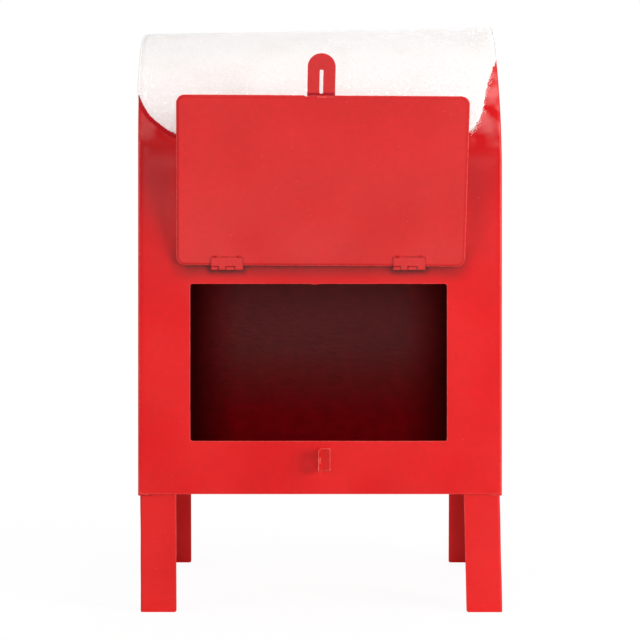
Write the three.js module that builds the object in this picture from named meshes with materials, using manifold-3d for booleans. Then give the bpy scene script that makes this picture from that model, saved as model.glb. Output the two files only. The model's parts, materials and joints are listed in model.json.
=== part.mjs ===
// A table-top mailbox of painted sheet steel, standing on four angle legs.
//
// One sheet is wrapped into the service panel, the barrel roof and the posting panel. Two D-shaped
// pans close its ends, and a floor pan closes the bottom. The service side (-Y) has a rectangular
// opening with a top-hinged access door, whose slotted hasp drops over the fin of a staple. The
// posting side (+Y) has a letter slot behind a top-hinged flap. A glitter-snow coat covers the roof.
//
// Millimetres, +Z up. The origin is the centre of the floor pan's underside. The access door is
// drawn standing open, as far as REST_OPEN_DEG, and the letter flap is drawn closed.

import * as THREE from "three";
import { mergeVertices } from "three/addons/utils/BufferGeometryUtils.js";
import Module from "manifold-3d";

// ---- driving dimensions ----

const SHEET = 0.9; // steel of the body, the door and the flap
const GAP = 0.1; // left between two sheets that lie on each other
const BODY_WIDTH = 286; // over the two side pans
const BODY_DEPTH = 224; // over the service and posting panels
const SPRING_Z = 255; // height where the flat panels turn into the barrel
const GROUND_Z = -93.5;

const OPENING = { width: 201.5, bottom: 41.5, top: 163.7, corner: 2 };
const DOOR = { width: 226, near: 2, far: 139, corner: 4 }; // near and far are distances from the hinge axis
const DOOR_AXIS_Z = 177.1;
const REST_OPEN_DEG = 165;

const SLOT = { width: 190, bottom: 204, top: 222, corner: 3 };
const FLAP = { width: 214, near: 2, lipStart: 38, lipRadius: 3, lipLength: 4, corner: 6 };
const FLAP_AXIS_Z = 237;

const HINGE = { length: 25.4, reach: 9.6, leaf: 0.7, outer: 1.6, bore: 0.85, pin: 0.76, pinProud: 0.4 };
const KNUCKLE_CLEARANCE = 0.3; // from a knuckle to the other leaf's plate
const KNUCKLE_ENDS = [-12.7, -6.9, -1.1, 6, 12.7]; // the body leaf and the swinging leaf take turns
const KNUCKLE_GAP = 0.1; // at each end of each knuckle
const HINGES_X = [-72.8, 70]; // the middle of each hinge; the posting side mirrors them

const LATCH_X = 0.4; // the hasp's slot and the staple's fin share this place across the body
const HASP = { width: 21.5, sheet: 1, padEnd: 124, joggle: 0.7, joggleRun: 1.5, end: 172.6, corner: 2 };
const HASP_SLOT = { width: 3.2, from: 141, to: 160.4, corner: 1 }; // from and to are measured like the door
const STAPLE = { sheet: 0.8, bottom: 17.8, top: 35.6, plate: 7.8, bend: 0.8, corner: 2.5 };
const STAPLE_FIN = { reach: 12, lean: 0.8 }; // out from the panel, and to -X over that reach
const PADLOCK_HOLE = { radius: 2.5, reach: 7.4 }; // in the fin, reach being its distance from the panel

const LEG = { flange: 28.3, sheet: 1.2, x: 141.4, y: 110, top: 40, bend: 2, footCorner: 2 };
const SIDE_RIM = 10; // how far the side pans' rims reach inwards
const SIDE_DROP = 1.8; // how far the side pans hang below the wrapped sheet and the floor
const FLOOR_RIM = 8;

const SNOW = { gap: 0.1, thickness: 0.8 };

// ---- sizes that follow from them ----

const BARREL_RADIUS = BODY_DEPTH / 2;
const WRAP_EDGE_INSET = 1.2; // the side pans' bent corners show beside the wrapped sheet
const HINGE_OUT = GAP + HINGE.outer; // hinge axis to the panel's face
const LEG_CLEARANCE = 0.3; // between a leg and the notch round it in the floor

const BARREL_SEGMENTS = 32; // three.js draws an arc with twice this many
const SMALL_ARC_SEGMENTS = 8;
const MARGIN = 1; // how far a cutting solid runs past what it cuts

const DEGREE = Math.PI / 180;
const wasm = await Module();
wasm.setup();

// ---- solids ----

/** A closed geometry as a manifold-3d solid. */
function toSolid(geometry) {
  const bare = geometry.clone();
  bare.deleteAttribute("normal");
  bare.deleteAttribute("uv");
  const merged = mergeVertices(bare, 1e-4);
  return new wasm.Manifold(
    new wasm.Mesh({
      numProp: 3,
      vertProperties: merged.attributes.position.array,
      triVerts: new Uint32Array(merged.index.array),
    }),
  );
}

/** A manifold-3d solid as a geometry with flat-shaded normals. */
function toGeometry(solid) {
  const mesh = solid.getMesh();
  const geometry = new THREE.BufferGeometry()
    .setAttribute("position", new THREE.BufferAttribute(mesh.vertProperties, 3))
    .setIndex(new THREE.BufferAttribute(mesh.triVerts, 1))
    .toNonIndexed();
  geometry.computeVertexNormals();
  return geometry;
}

/** A shape extruded along its own normal from one depth to another, then turned by a basis. */
function extrude(shape, from, to, basis, curveSegments) {
  const geometry = new THREE.ExtrudeGeometry(shape, {
    depth: to - from,
    bevelEnabled: false,
    curveSegments,
  });
  geometry.translate(0, 0, from);
  return toSolid(geometry.applyMatrix4(basis));
}

const X_AXIS = new THREE.Vector3(1, 0, 0);
const Y_AXIS = new THREE.Vector3(0, 1, 0);
const Z_AXIS = new THREE.Vector3(0, 0, 1);

/** A shape drawn in (y, z), filling x0 to x1. */
function extrudeX(shape, x0, x1, curveSegments = SMALL_ARC_SEGMENTS) {
  const basis = new THREE.Matrix4().makeBasis(Y_AXIS, Z_AXIS, X_AXIS);
  return extrude(shape, x0, x1, basis, curveSegments);
}

/** A shape drawn in (x, z), filling y0 to y1. */
function extrudeY(shape, y0, y1, curveSegments = SMALL_ARC_SEGMENTS) {
  const basis = new THREE.Matrix4().makeBasis(X_AXIS, Z_AXIS, Y_AXIS.clone().negate());
  return extrude(shape, -y1, -y0, basis, curveSegments);
}

/** A shape drawn in (x, y), filling z0 to z1. */
function extrudeZ(shape, z0, z1, curveSegments = SMALL_ARC_SEGMENTS) {
  return extrude(shape, z0, z1, new THREE.Matrix4(), curveSegments);
}

/** A box between two corners. */
function box(x0, x1, y0, y1, z0, z1) {
  const geometry = new THREE.BoxGeometry(x1 - x0, y1 - y0, z1 - z0);
  return toSolid(geometry.translate((x0 + x1) / 2, (y0 + y1) / 2, (z0 + z1) / 2));
}

/** Several solids joined into one. */
function join(solids) {
  return solids.reduce((all, next) => all.add(next));
}

/** Two distances to one side of the middle, side being -1 or +1, as [low, high]. */
function spanTo(side, a, b) {
  return [Math.min(side * a, side * b), Math.max(side * a, side * b)];
}

// ---- outlines ----

/** A rectangle with rounded corners: radii are [lower left, lower right, upper right, upper left]. */
function roundedRectangle(x0, x1, y0, y1, [ll, lr, ur, ul]) {
  const shape = new THREE.Shape();
  shape.moveTo(x0 + ll, y0);
  shape.lineTo(x1 - lr, y0);
  if (lr) shape.absarc(x1 - lr, y0 + lr, lr, -Math.PI / 2, 0, false);
  shape.lineTo(x1, y1 - ur);
  if (ur) shape.absarc(x1 - ur, y1 - ur, ur, 0, Math.PI / 2, false);
  shape.lineTo(x0 + ul, y1);
  if (ul) shape.absarc(x0 + ul, y1 - ul, ul, Math.PI / 2, Math.PI, false);
  shape.lineTo(x0, y0 + ll);
  if (ll) shape.absarc(x0 + ll, y0 + ll, ll, Math.PI, Math.PI * 1.5, false);
  return shape;
}

/** The body's D-shaped outline in (y, z): straight up to the spring line, then half a circle. */
function archShape(radius, bottom) {
  const shape = new THREE.Shape();
  shape.moveTo(-radius, bottom);
  shape.lineTo(radius, bottom);
  shape.lineTo(radius, SPRING_Z);
  shape.absarc(0, SPRING_Z, radius, 0, Math.PI, false);
  return shape;
}

/** The cross-section of a bent sheet, from the middle line it follows. */
function sheetProfile(path, thickness) {
  const line = path.getPoints(SMALL_ARC_SEGMENTS);
  const last = line.length - 1;
  const normalOf = (a, b) => new THREE.Vector2(a.y - b.y, b.x - a.x).normalize();
  const offsets = line.map((point, i) => {
    const before = normalOf(line[Math.max(i - 1, 0)], line[Math.max(i, 1)]);
    const after = normalOf(line[Math.min(i, last - 1)], line[Math.min(i + 1, last)]);
    const middle = before.clone().add(after).normalize();
    return middle.multiplyScalar(thickness / 2 / middle.dot(before));
  });
  const left = line.map((point, i) => point.clone().add(offsets[i]));
  const right = line.map((point, i) => point.clone().sub(offsets[i]));
  return new THREE.Shape([...left, ...right.reverse()]);
}

// ---- the body ----

/** A hole in a panel, as an outline in (x, z). */
function windowShape({ width, bottom, top, corner }) {
  return roundedRectangle(-width / 2, width / 2, bottom, top, Array(4).fill(corner));
}

/** Service panel, barrel roof and posting panel in one sheet. */
function bodyWrap() {
  const half = BODY_WIDTH / 2 - WRAP_EDGE_INSET;
  const innerRadius = BARREL_RADIUS - SHEET;
  const outside = extrudeX(archShape(BARREL_RADIUS, 0), -half, half, BARREL_SEGMENTS);
  const inside = extrudeX(archShape(innerRadius, -MARGIN), -half - MARGIN, half + MARGIN, BARREL_SEGMENTS);
  return outside
    .subtract(inside)
    .subtract(extrudeY(windowShape(OPENING), -BARREL_RADIUS - MARGIN, 0))
    .subtract(extrudeY(windowShape(SLOT), 0, BARREL_RADIUS + MARGIN));
}

/** A D-shaped end pan, open at the bottom, whose rim sits inside the wrapped sheet. Side is -1 or +1. */
function sidePan(side) {
  const radius = BARREL_RADIUS - SHEET - GAP;
  const faceX = BODY_WIDTH / 2;
  const outside = extrudeX(
    archShape(radius, -SIDE_DROP),
    ...spanTo(side, faceX - SIDE_RIM, faceX),
    BARREL_SEGMENTS,
  );
  const inside = extrudeX(
    archShape(radius - SHEET, -SIDE_DROP - MARGIN),
    ...spanTo(side, faceX - SIDE_RIM - MARGIN, faceX - SHEET),
    BARREL_SEGMENTS,
  );
  return outside.subtract(inside);
}

/** The floor: a plate between the walls, notched round the legs, with a turned-up rim on each side. */
function floorPan() {
  const wallX = BODY_WIDTH / 2 - SHEET - GAP;
  const wallY = BARREL_RADIUS - SHEET - GAP;
  const [insideLegX, insideLegY] = [LEG.x, LEG.y].map((leg) => leg - LEG.sheet - LEG_CLEARANCE);
  const [freeX, freeY] = [LEG.x, LEG.y].map((leg) => leg - LEG.flange - LEG_CLEARANCE);
  const plates = [
    box(-insideLegX, insideLegX, -insideLegY, insideLegY, 0, SHEET),
    box(-freeX, freeX, -wallY, wallY, 0, SHEET),
    box(-wallX, wallX, -freeY, freeY, 0, SHEET),
  ];
  const rims = [-1, 1].flatMap((side) => [
    box(-freeX, freeX, ...spanTo(side, wallY - SHEET, wallY), 0, FLOOR_RIM),
    box(...spanTo(side, wallX - SHEET, wallX), -freeY, freeY, 0, FLOOR_RIM),
  ]);
  return join([...plates, ...rims]);
}

/** An angle leg in one corner, with its bend outwards and the free foot corners rounded. */
function angleLeg(sideX, sideY) {
  const { flange, sheet, bend, footCorner } = LEG;
  const at = (inX, inY) => [sideX * (LEG.x - inX), sideY * (LEG.y - inY)];
  const section = new THREE.Shape();
  section.moveTo(...at(bend, 0));
  section.lineTo(...at(flange, 0));
  section.lineTo(...at(flange, sheet));
  section.lineTo(...at(bend, sheet));
  section.quadraticCurveTo(...at(sheet, sheet), ...at(sheet, bend));
  section.lineTo(...at(sheet, flange));
  section.lineTo(...at(0, flange));
  section.lineTo(...at(0, bend));
  section.quadraticCurveTo(...at(0, 0), ...at(bend, 0));
  const leg = extrudeZ(section, GROUND_Z, LEG.top);

  // The corner is rounded at the flange's free end, which is towards the middle of the body.
  const footShape = (side, outer) => {
    const corners = side < 0 ? [0, footCorner, 0, 0] : [footCorner, 0, 0, 0];
    return roundedRectangle(...spanTo(side, outer - flange, outer), GROUND_Z, LEG.top, corners);
  };
  const alongY = extrudeY(footShape(sideX, LEG.x), -BARREL_RADIUS, BARREL_RADIUS);
  const alongX = extrudeX(footShape(sideY, LEG.y), -BODY_WIDTH / 2, BODY_WIDTH / 2);
  return leg.intersect(alongY).intersect(alongX);
}

/** A bent tab: a plate on the service panel, and a leaning fin with a padlock hole standing out of it. */
function staple() {
  const { sheet, bottom, top, plate, bend, corner } = STAPLE;
  const { reach, lean } = STAPLE_FIN;
  const panelY = -(BARREL_RADIUS + GAP);
  const plateY = panelY - sheet / 2;
  const line = new THREE.Path();
  line.moveTo(LATCH_X + plate, plateY);
  line.lineTo(LATCH_X + bend, plateY);
  line.quadraticCurveTo(LATCH_X, plateY, LATCH_X, plateY - bend);
  line.lineTo(LATCH_X - lean, panelY - reach);
  const bent = extrudeZ(sheetProfile(line, sheet), bottom, top);
  const outline = roundedRectangle(panelY - reach, panelY, bottom, top, [corner, 0, 0, corner]);
  const hole = new THREE.Shape();
  hole.absarc(panelY - PADLOCK_HOLE.reach, (bottom + top) / 2, PADLOCK_HOLE.radius, 0, Math.PI * 2, false);
  return bent
    .intersect(extrudeX(outline, LATCH_X - reach, LATCH_X + plate))
    .subtract(extrudeX(hole, LATCH_X - reach, LATCH_X + reach));
}

// ---- hinges ----
// Each is drawn about its own axis, along X, with the panel's face at y = HINGE_OUT behind it and the
// leaves in line, as when the door or flap is closed. The body leaf points up and the other one down.

/** A full circle about the hinge axis, in (y, z). */
function circleShape(radius) {
  const shape = new THREE.Shape();
  shape.absarc(0, 0, radius, 0, Math.PI * 2, false);
  return shape;
}

/** A hinge leaf: up is +1 for the body leaf and -1 for the swinging one. */
function hingeLeaf(up) {
  const firstKnuckle = up > 0 ? 0 : 1;
  const strip = (x0, x1, from, to) =>
    box(x0, x1, HINGE.outer - HINGE.leaf, HINGE.outer, ...spanTo(up, from, to));
  const plateStart = HINGE.outer + KNUCKLE_CLEARANCE;
  const plate = strip(-HINGE.length / 2, HINGE.length / 2, plateStart, HINGE.reach);
  const knuckles = [firstKnuckle, firstKnuckle + 2].flatMap((i) => {
    const [x0, x1] = [KNUCKLE_ENDS[i] + KNUCKLE_GAP, KNUCKLE_ENDS[i + 1] - KNUCKLE_GAP];
    return [extrudeX(circleShape(HINGE.outer), x0, x1), strip(x0, x1, 0, plateStart + HINGE.leaf)];
  });
  return join([plate, ...knuckles]).subtract(extrudeX(circleShape(HINGE.bore), -HINGE.length, HINGE.length));
}

/** The pin, peened a little proud of the end knuckles. */
function hingePin() {
  const length = HINGE.length + 2 * HINGE.pinProud;
  const geometry = new THREE.CylinderGeometry(HINGE.pin, HINGE.pin, length, 2 * SMALL_ARC_SEGMENTS);
  return toSolid(geometry.rotateZ(Math.PI / 2));
}

// ---- access door, hasp and letter flap, each about its hinge axis and hanging closed ----

const PLATE_BACK = HINGE.outer - HINGE.leaf - GAP; // the sheet lies on the swinging leaf
const PLATE_FRONT = PLATE_BACK - SHEET;

/** The access door's flat sheet. */
function accessDoor() {
  const corners = Array(4).fill(DOOR.corner);
  const outline = roundedRectangle(-DOOR.width / 2, DOOR.width / 2, -DOOR.far, -DOOR.near, corners);
  return extrudeY(outline, PLATE_FRONT, PLATE_BACK);
}

/** The hasp: a pad on the door's outside, a joggle towards the body, and a slotted round-ended tab. */
function hasp() {
  const padY = PLATE_FRONT - GAP - HASP.sheet / 2;
  const tabY = padY + HASP.joggle;
  const line = new THREE.Path();
  line.moveTo(padY, -HASP.padEnd);
  line.lineTo(padY, -DOOR.far);
  line.lineTo(tabY, -DOOR.far - HASP.joggleRun);
  line.lineTo(tabY, -HASP.end);
  const half = HASP.width / 2;
  const bent = extrudeX(sheetProfile(line, HASP.sheet), LATCH_X - half, LATCH_X + half);
  const outline = roundedRectangle(
    LATCH_X - half,
    LATCH_X + half,
    -HASP.end,
    -HASP.padEnd,
    [half, half, HASP.corner, HASP.corner],
  );
  const slot = roundedRectangle(
    LATCH_X - HASP_SLOT.width / 2,
    LATCH_X + HASP_SLOT.width / 2,
    -HASP_SLOT.to,
    -HASP_SLOT.from,
    Array(4).fill(HASP_SLOT.corner),
  );
  const [y0, y1] = [padY - HASP.sheet, tabY + HASP.sheet];
  return bent.intersect(extrudeY(outline, y0, y1)).subtract(extrudeY(slot, y0, y1));
}

/** The letter flap: a flat sheet whose bottom edge curls outwards as a finger lip with clipped ends. */
function letterFlap() {
  const middle = (PLATE_BACK + PLATE_FRONT) / 2;
  const { width, lipStart, lipRadius, lipLength, corner } = FLAP;
  const line = new THREE.Path();
  line.moveTo(middle, -FLAP.near);
  line.lineTo(middle, -lipStart);
  line.absarc(middle - lipRadius, -lipStart, lipRadius, 0, -Math.PI / 2, true);
  line.lineTo(middle - lipRadius - lipLength, -lipStart - lipRadius);
  const bent = extrudeX(sheetProfile(line, SHEET), -width / 2, width / 2);
  const lipFront = PLATE_FRONT - lipRadius - lipLength - MARGIN;
  const lipEnds = [-1, 1].map((side) =>
    box(
      ...spanTo(side, width / 2 - corner, width / 2 + MARGIN),
      lipFront,
      PLATE_FRONT - GAP,
      -lipStart - lipRadius - SHEET,
      -lipStart,
    ),
  );
  return lipEnds.reduce((flap, end) => flap.subtract(end), bent);
}

// ---- the snow coat ----

// The lower edge of the snow, as heights above the spring line. The service and posting edges are read
// from -X to +X, and the side edges from the service side to the posting side. They meet on the rims.
const SERVICE_EDGE = [
  [-143, 62], [-138, 48], [-127, 35], [-100, 22], [0, 13],
  [95, 19], [119, 29], [129, 45], [133, 63], [143, 86],
];
const POSTING_EDGE = [
  [-143, 64], [-136, 46], [-122, 33], [-85, 19], [-20, 12], [55, 17], [105, 26], [130, 39], [143, 64],
];
const LEFT_EDGE = [[-125, 96], [-95, 59], [-50, 41], [5, 35], [55, 45], [92, 64], [125, 96]];
const RIGHT_EDGE = [[-125, 135], [-72, 86], [-38, 55], [0, 43], [50, 45], [92, 64], [125, 96]];
const EDGE_STEPS = 6; // line pieces for each point of an edge

/** Everything below a smooth edge line, made by one of the extruders. */
function underEdge(points, extruder, from, to) {
  const bends = points.map(([across, up]) => new THREE.Vector2(across, SPRING_Z + up));
  const line = new THREE.SplineCurve(bends).getPoints(EDGE_STEPS * points.length);
  const floor = SPRING_Z - BARREL_RADIUS;
  const shape = new THREE.Shape([
    new THREE.Vector2(line[0].x, floor),
    ...line,
    new THREE.Vector2(line.at(-1).x, floor),
  ]);
  return extruder(shape, from, to);
}

/** A thin shell over the barrel that laps onto both side pans, cut along the four edge lines. */
function snowCoat() {
  const innerRadius = BARREL_RADIUS + SNOW.gap;
  const outerRadius = innerRadius + SNOW.thickness;
  const innerHalf = BODY_WIDTH / 2 + SNOW.gap;
  const outerHalf = innerHalf + SNOW.thickness;
  const bottom = SPRING_Z - MARGIN;
  const outside = extrudeX(archShape(outerRadius, bottom), -outerHalf, outerHalf, BARREL_SEGMENTS);
  const inside = extrudeX(archShape(innerRadius, bottom - MARGIN), -innerHalf, innerHalf, BARREL_SEGMENTS);

  const faceHalf = BODY_WIDTH / 2;
  const far = outerHalf + MARGIN;
  const betweenFaces = box(-faceHalf, faceHalf, -far, far, 0, 2 * SPRING_Z);
  const cuts = [
    underEdge(SERVICE_EDGE, extrudeY, -far, 0).intersect(betweenFaces),
    underEdge(POSTING_EDGE, extrudeY, 0, far).intersect(betweenFaces),
    underEdge(LEFT_EDGE, extrudeX, -far, -faceHalf),
    underEdge(RIGHT_EDGE, extrudeX, faceHalf, far),
  ];
  return cuts.reduce((snow, cut) => snow.subtract(cut), outside.subtract(inside));
}

// ---- the assembly ----

const redPaint = new THREE.MeshStandardMaterial({ color: 0xd32429, roughness: 0.38, metalness: 0.1 });
const glitterSnow = new THREE.MeshStandardMaterial({ color: 0xf6f0ec, roughness: 0.85, metalness: 0 });

/** A named mesh with its own copy of a material. */
function mesh(name, solid, material = redPaint) {
  const made = new THREE.Mesh(toGeometry(solid), material.clone());
  made.name = name;
  return made;
}

const mailbox = new THREE.Group();
mailbox.add(
  mesh("body_wrap", bodyWrap()),
  mesh("side_pan_left", sidePan(-1)),
  mesh("side_pan_right", sidePan(1)),
  mesh("floor_pan", floorPan()),
  mesh("leg_service_left", angleLeg(-1, -1)),
  mesh("leg_service_right", angleLeg(1, -1)),
  mesh("leg_posting_left", angleLeg(-1, 1)),
  mesh("leg_posting_right", angleLeg(1, 1)),
  mesh("staple", staple()),
  mesh("snow_coat", snowCoat(), glitterSnow),
);

/** Two hinges: body leaves and pins in the still group, swinging leaves in the moving one. */
function addHinges(still, moving, name, sideOf) {
  for (const x of HINGES_X) {
    const side = sideOf(x);
    const bodyLeaf = mesh(`${name}_hinge_${side}_body_leaf`, hingeLeaf(1));
    const pin = mesh(`${name}_hinge_${side}_pin`, hingePin());
    const swingLeaf = mesh(`${name}_hinge_${side}_${name}_leaf`, hingeLeaf(-1));
    for (const piece of [bodyLeaf, pin, swingLeaf]) piece.position.x = x;
    still.add(bodyLeaf, pin);
    moving.add(swingLeaf);
  }
}

// The service side: the door's hinge line stands in front of the panel, and the door is swung open.
const doorMount = new THREE.Group();
doorMount.position.set(0, -(BARREL_RADIUS + HINGE_OUT), DOOR_AXIS_Z);
const doorSwing = new THREE.Group();
doorSwing.rotation.x = -REST_OPEN_DEG * DEGREE;
doorSwing.add(mesh("access_door", accessDoor()), mesh("hasp", hasp()));
doorMount.add(doorSwing);
addHinges(doorMount, doorSwing, "door", (x) => (x < 0 ? "left" : "right"));

// The posting side is the same arrangement turned half round, with the flap hanging closed.
const flapMount = new THREE.Group();
flapMount.position.set(0, BARREL_RADIUS + HINGE_OUT, FLAP_AXIS_Z);
flapMount.rotation.z = Math.PI;
const flapSwing = new THREE.Group();
flapSwing.add(mesh("letter_flap", letterFlap()));
flapMount.add(flapSwing);
addHinges(flapMount, flapSwing, "flap", (x) => (x < 0 ? "right" : "left"));

mailbox.add(doorMount, flapMount);

export default mailbox;
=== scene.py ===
"""A red sheet-steel mailbox with a glitter-snow roof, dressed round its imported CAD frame.

Each sheet piece is an outline laid out flat, filled with a fine mesh, and then bent into its place. Lengths
are in millimetres until a mesh is written. The service side, with the access door, faces -Y.
"""

import json
import math

import bpy
import numpy as np
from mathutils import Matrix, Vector, kdtree, noise
from mathutils.geometry import delaunay_2d_cdt

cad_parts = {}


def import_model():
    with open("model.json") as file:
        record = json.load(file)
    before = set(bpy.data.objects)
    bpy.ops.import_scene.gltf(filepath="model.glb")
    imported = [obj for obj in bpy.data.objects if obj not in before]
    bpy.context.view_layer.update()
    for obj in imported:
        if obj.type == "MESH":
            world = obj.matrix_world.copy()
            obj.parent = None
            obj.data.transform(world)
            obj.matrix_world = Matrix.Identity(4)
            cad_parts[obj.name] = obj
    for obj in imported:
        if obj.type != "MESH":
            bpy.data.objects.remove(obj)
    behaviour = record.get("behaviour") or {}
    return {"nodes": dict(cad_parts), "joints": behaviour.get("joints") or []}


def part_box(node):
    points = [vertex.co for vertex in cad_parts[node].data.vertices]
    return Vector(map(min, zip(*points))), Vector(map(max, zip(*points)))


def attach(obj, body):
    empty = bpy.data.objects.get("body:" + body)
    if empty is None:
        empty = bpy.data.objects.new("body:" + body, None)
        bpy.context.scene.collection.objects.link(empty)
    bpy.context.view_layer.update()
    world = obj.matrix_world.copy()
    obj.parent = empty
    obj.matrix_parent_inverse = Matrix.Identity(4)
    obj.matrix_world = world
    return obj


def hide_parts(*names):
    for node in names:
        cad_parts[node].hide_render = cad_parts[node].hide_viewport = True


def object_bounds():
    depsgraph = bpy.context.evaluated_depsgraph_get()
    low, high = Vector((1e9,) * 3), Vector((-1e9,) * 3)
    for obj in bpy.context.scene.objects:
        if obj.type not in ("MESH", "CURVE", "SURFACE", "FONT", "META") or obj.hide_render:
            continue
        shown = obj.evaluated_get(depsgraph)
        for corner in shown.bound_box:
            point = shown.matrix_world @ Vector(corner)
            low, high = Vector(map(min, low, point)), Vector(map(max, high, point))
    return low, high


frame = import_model()
cad_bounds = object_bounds()

MM = 0.001
SHEET = 0.9
HINGE_SHEET = 0.7
HASP_SHEET = 1.0
STAPLE_SHEET = 0.8
LEG_SHEET = 1.2
FLAKE_SIZE = 0.9
SIDES = ("left", "right")
SEED = 7

# ---- places read from the frame ----


def vertices(name):
    """A CAD node's vertices."""
    return np.array([v.co for v in frame["nodes"][name].data.vertices]) / MM


def low_high(name):
    """A CAD node's lowest and highest corners."""
    return tuple(np.array(corner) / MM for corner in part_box(name))


def middle_x(low, high):
    return (low[0] + high[0]) / 2


def pin_x(prefix, side):
    return middle_x(*low_high(f"{prefix}_hinge_{side}_pin"))


def joint(name):
    return next(j for j in frame["joints"] if j["name"] == name)


WRAP_HALF, BARREL, TOP = low_high("body_wrap")[1]
SPRING = TOP - BARREL
PAN_LOW, PAN_HIGH = low_high("side_pan_right")
DOOR_AXIS = np.array(joint("access_door_hinge")["pos_m"]) / MM
FLAP_AXIS = np.array(joint("letter_flap_hinge")["pos_m"]) / MM
REST_OPEN = math.radians(-joint("access_door_hinge")["range_deg"][0])
HINGE_OUT = abs(DOOR_AXIS[1]) - BARREL

# The roof of this one sits a little askew: it climbs towards +X, and leans towards -X.
ROOF_TILT = 0.021
ROOF_LEAN = -1.7


def askew(points):
    """Tilts what is above the spring line, easing in from nothing there."""
    rise = np.clip((points[:, 2] - SPRING) / BARREL, 0, 1)
    ease = rise * rise * (3 - 2 * rise)
    shift = np.column_stack([ROOF_LEAN * ease, 0 * ease, ROOF_TILT * points[:, 0] * ease])
    return points + shift


def beside_hinge(axis, angle=0.0, turned=False):
    """Takes points drawn about a closed hinge, with the panel behind it at +Y, to their rest place."""
    c, s = math.cos(angle), math.sin(angle)

    def move(points):
        x, y, z = points.T
        y, z = y * c - z * s, y * s + z * c
        if turned:
            x, y = -x, -y
        return np.column_stack([x, y, z]) + axis

    return move


still_on_service = beside_hinge(DOOR_AXIS)
swung_open = beside_hinge(DOOR_AXIS, -REST_OPEN)
on_posting = beside_hinge(FLAP_AXIS, turned=True)


def closed(name):
    """A piece of the access door as vertices about its hinge axis, with the door swung closed."""
    x, y, z = (vertices(name) - DOOR_AXIS).T
    c, s = math.cos(REST_OPEN), math.sin(REST_OPEN)
    return np.column_stack([x, y * c - z * s, y * s + z * c])


def closed_box(name):
    points = closed(name)
    return points.min(axis=0), points.max(axis=0)


# ---- outlines ----


def unit(vector):
    return vector / np.linalg.norm(vector)


def rounded_rectangle(low, high, radii, steps=6):
    """A counter-clockwise loop. The radii go round from the low, low corner."""
    (x0, y0), (x1, y1) = low, high
    corners = [(x0, y0, 1, 1), (x1, y0, -1, 1), (x1, y1, -1, -1), (x0, y1, 1, -1)]
    points = []
    for k, ((x, y, to_x, to_y), radius) in enumerate(zip(corners, radii)):
        start = math.pi + k * math.pi / 2
        for i in range(steps + 1 if radius else 1):
            a = start + i / steps * math.pi / 2
            centre_x, centre_y = x + to_x * radius, y + to_y * radius
            points.append((centre_x + radius * math.cos(a), centre_y + radius * math.sin(a)))
    return np.array(points)


def nicked(loop, middle, y, half_width, depth):
    """Adds a small burr to a loop's straight run at height y, with depth > 0 pointing up."""
    nick = np.array([(middle + half_width * t, y + depth * (1 - t * t)) for t in np.linspace(-1, 1, 7)])
    for i, (a, b) in enumerate(zip(loop, np.roll(loop, -1, axis=0))):
        along = abs(a[1] - y) < 1e-4 and abs(b[1] - y) < 1e-4
        if along and min(a[0], b[0]) < middle < max(a[0], b[0]):
            return np.insert(loop, i + 1, nick if b[0] > a[0] else nick[::-1], axis=0)
    raise ValueError("no straight run to nick")


def resampled(loop, step):
    """A closed loop with points added until none of its sides is longer than step."""
    points = []
    for a, b in zip(loop, np.roll(loop, -1, axis=0)):
        count = max(1, math.ceil(np.linalg.norm(b - a) / step))
        points += [a + (b - a) * k / count for k in range(count)]
    return np.array(points)


def with_point(loop, point):
    """A closed loop with point added as a vertex, if it lies within one of the loop's sides."""
    for i, (a, b) in enumerate(zip(loop, np.roll(loop, -1, axis=0))):
        side = b - a
        t = (point - a) @ side / (side @ side)
        if 1e-6 < t < 1 - 1e-6 and np.linalg.norm(a + side * t - point) < 1e-3:
            return np.insert(loop, i + 1, point, axis=0)
    return loop


def level_lines(heights, low, high):
    """Straight lines from u = low to u = high, one at each height."""
    return [np.array([(low, v), (high, v)]) for v in heights]


def upright_lines(places, low, high):
    """Straight lines from v = low to v = high, one at each place."""
    return [np.array([(u, low), (u, high)]) for u in places]


def mitres(loop):
    """How each vertex moves when its loop grows by one millimetre, to the right of its direction."""

    def right_of(v):
        return np.column_stack([v[:, 1], -v[:, 0]]) / np.linalg.norm(v, axis=1, keepdims=True)

    before = right_of(loop - np.roll(loop, 1, axis=0))
    after = right_of(np.roll(loop, -1, axis=0) - loop)
    middle = before + after
    middle /= np.linalg.norm(middle, axis=1, keepdims=True)
    return middle / (middle * after).sum(axis=1, keepdims=True)


def inside(points, loop):
    """Which points lie inside a closed loop, by counting the sides to their right."""
    x, y = points.T
    result = np.zeros(len(points), bool)
    for (x0, y0), (x1, y1) in zip(loop, np.roll(loop, -1, axis=0)):
        if y0 == y1:
            continue
        crosses = (y0 > y) != (y1 > y)
        result ^= crosses & (x < (x1 - x0) * (y - y0) / (y1 - y0) + x0)
    return result


# ---- bends ----


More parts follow.
